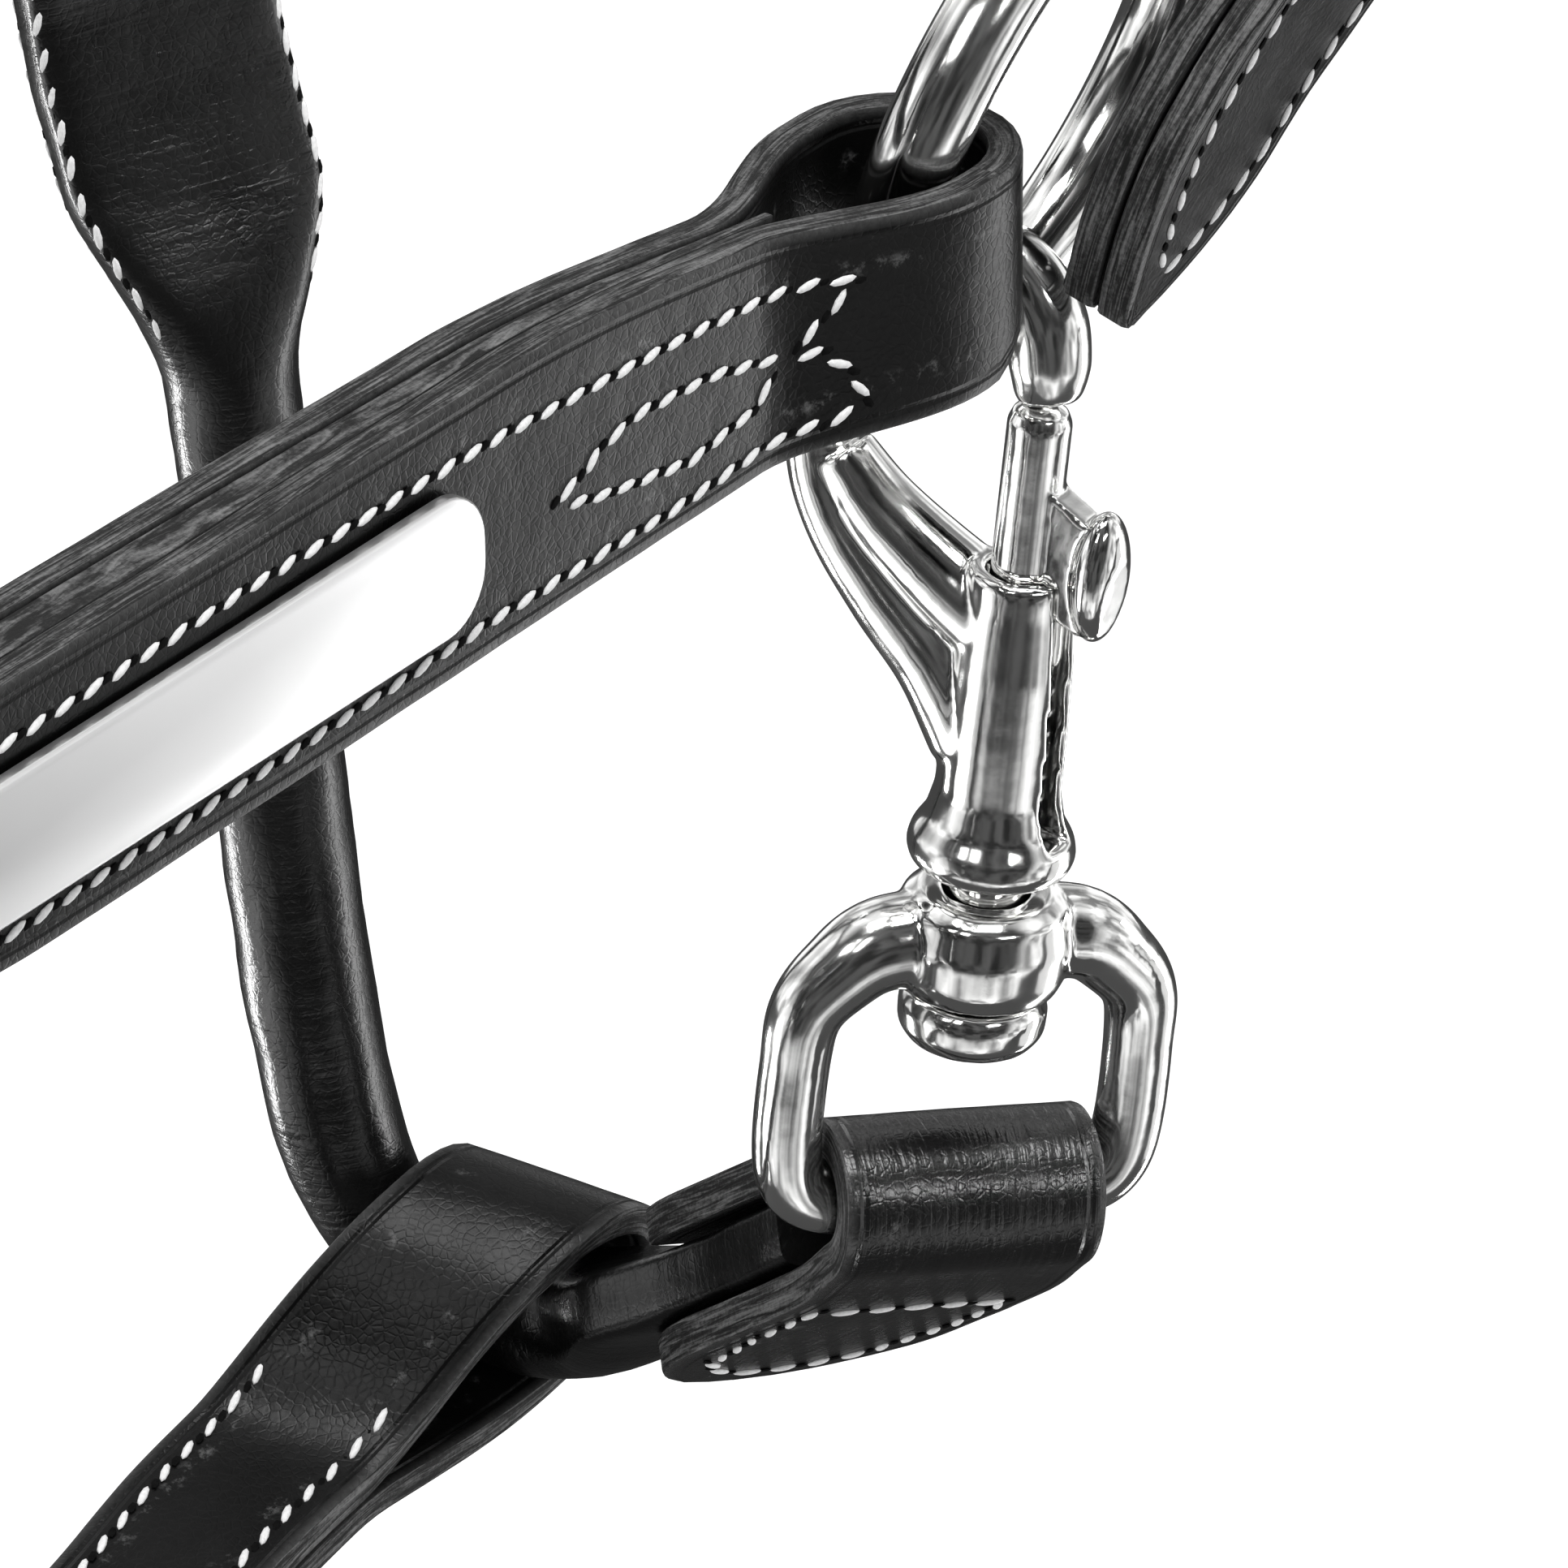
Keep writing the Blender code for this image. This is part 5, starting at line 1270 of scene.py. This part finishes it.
band = [(d, -s) for d, s in reversed(side)] + round_the_wire(0.0, throat_fold, -1)[::-1] + side
loop = leather_sheet(laid(throat_line, band, 24.0, ply=3.0))
held = bpy.data.meshes.new("held")
loop.to_mesh(held)
loop.free()
bm.from_mesh(held)
keep("throat_leather", bm, [rolled_leather, cut_edge], "straps", ["throat_strap"])


def throat_face(distance, turn):
    """The point and the outward normal on the rolled strap."""
    along = throat_skin(distance + 0.5, turn) - throat_skin(distance - 0.5, turn)
    around = throat_skin(distance, turn + 0.03) - throat_skin(distance, turn - 0.03)
    return throat_skin(distance, turn), around.cross(along).normalized()


rows = []
for turn, end in ((0.5, 58.0), (math.pi - 0.5, 62.0), (math.pi + 0.5, 62.0), (2 * math.pi - 0.5, 58.0)):
    rows.append(stitch_places(throat_face, [(17.0, turn), (end, turn)]))
rows.append(stitch_places(throat_face, [(throat_long - 62.0, 0.35), (throat_long - 40.0, 0.35)]))
sew("throat_stitching", rows)

# Throat chape
# Thick leather wrapped round the eye's bottom bar. Its two tails, the under one cut to a tongue,
# lie on both faces of the throat strap's end and are sewn through it.
CHAPE_PLY = 3.8
chape_leather = bridle_leather("chape_leather", 0.001, 0.004, 0.22, 0.9, 0.6, (90.0, 1500.0), 0.45)
ends = [beyond_eye(*end) for end in ((0.0, 0.0), (12.0, 0.5), (33.0, 6.5), (51.0, 13.5))]
end_line = StrapLine(ends, [eye_side] * 4, skewed=True)
turn = EYE_WIRE + 0.6 + CHAPE_PLY / 2
rest = END_HALF + 0.4 + CHAPE_PLY / 2


def tongue_end(distance):
    """The chape's width, cut to a tongue."""
    return 25.0 * math.sqrt(max(0.003, 1 - (max(0.0, distance - 28.0) / 18.0) ** 2))


def tail_rest(distance):
    """How far a tail's middle lies from the strap, past the eye's bar."""
    return turn + (rest - turn) * ease((distance - 4.0) / 6.0)


short = [(d, tail_rest(d)) for d in [37.0 - 37.0 * k / 20 for k in range(21)]]
long = [(d, -tail_rest(d)) for d in [45.9 - 45.9 * k / 30 for k in range(31)]]
track = long + round_the_wire(0.0, turn, -1, 24)[::-1] + short[::-1]
sheet = leather_sheet(laid(end_line, track, tongue_end, ply=CHAPE_PLY), cells=14)
keep("chape_leather", sheet, [chape_leather, cut_edge], "straps", ["throat_chape"])


def chape_offset(distance):
    return tail_rest(distance) + CHAPE_PLY / 2


rows = []
for way, reach in ((1, 33.0), (-1, 41.0)):
    face = strap_face(end_line, chape_offset, way)
    curve = [(14.0, 9.6), (24.0, 9.6), (reach - 6.0, 7.6), (reach - 1.5, 4.0), (reach, 0.0)]
    trace = curve + [(d, -v) for d, v in reversed(curve[:-1])] + [(13.5, 0.0), (14.0, 9.6)]
    rows.append(stitch_places(face, trace))
sew("chape_stitching", rows)

# Jaw strap
# A narrower doubled strap, looped loosely round the lowest part of the throat strap's roll and
# sewn, runs forward under the jaw to the lead ring.
JAW_WIDTH, JAW_PLAY = 19.0, 3.1
before_ring = Vector((-282.0, 2.0, -330.0))
lead_at, lead_fold, _ = fold_at_ring(LEAD_RING, Z_AXIS, before_ring, Y_AXIS, width=JAW_WIDTH)
from_roll = ((-2.7, 65.2, -147.8), (-20.0, 69.5, -154.5), (-38.0, 70.7, -158.5), (-62.0, 69.0, -161.5))
jaw_points = [throat_at + Vector(p) for p in from_roll]
jaw_points += [Vector((-230.0, 7.0, -346.0)), before_ring, lead_at]
jaw_widths = [(-0.27, 0.94, 0.2), (-0.2, 0.95, 0.2), (-0.1, 1.0, 0.1)] + [Y_AXIS] * 4
jaw_line = StrapLine(jaw_points, jaw_widths, skewed=True)
jaw_fold = ROLL + JAW_PLAY + PLY / 2
track = folded(jaw_line.length, jaw_fold, lead_fold, HALF, taper=30.0, pitch=1.8)
keep_leather("jaw_leather", leather_sheet(laid(jaw_line, track, JAW_WIDTH), closed=True), "jaw_strap")
jaw_end = jaw_line.length - 16.0
sew("jaw_stitching", seams(jaw_line, HALF, (jaw_fold, lead_fold), 6.4, 21.0, jaw_end, taper=30.0))
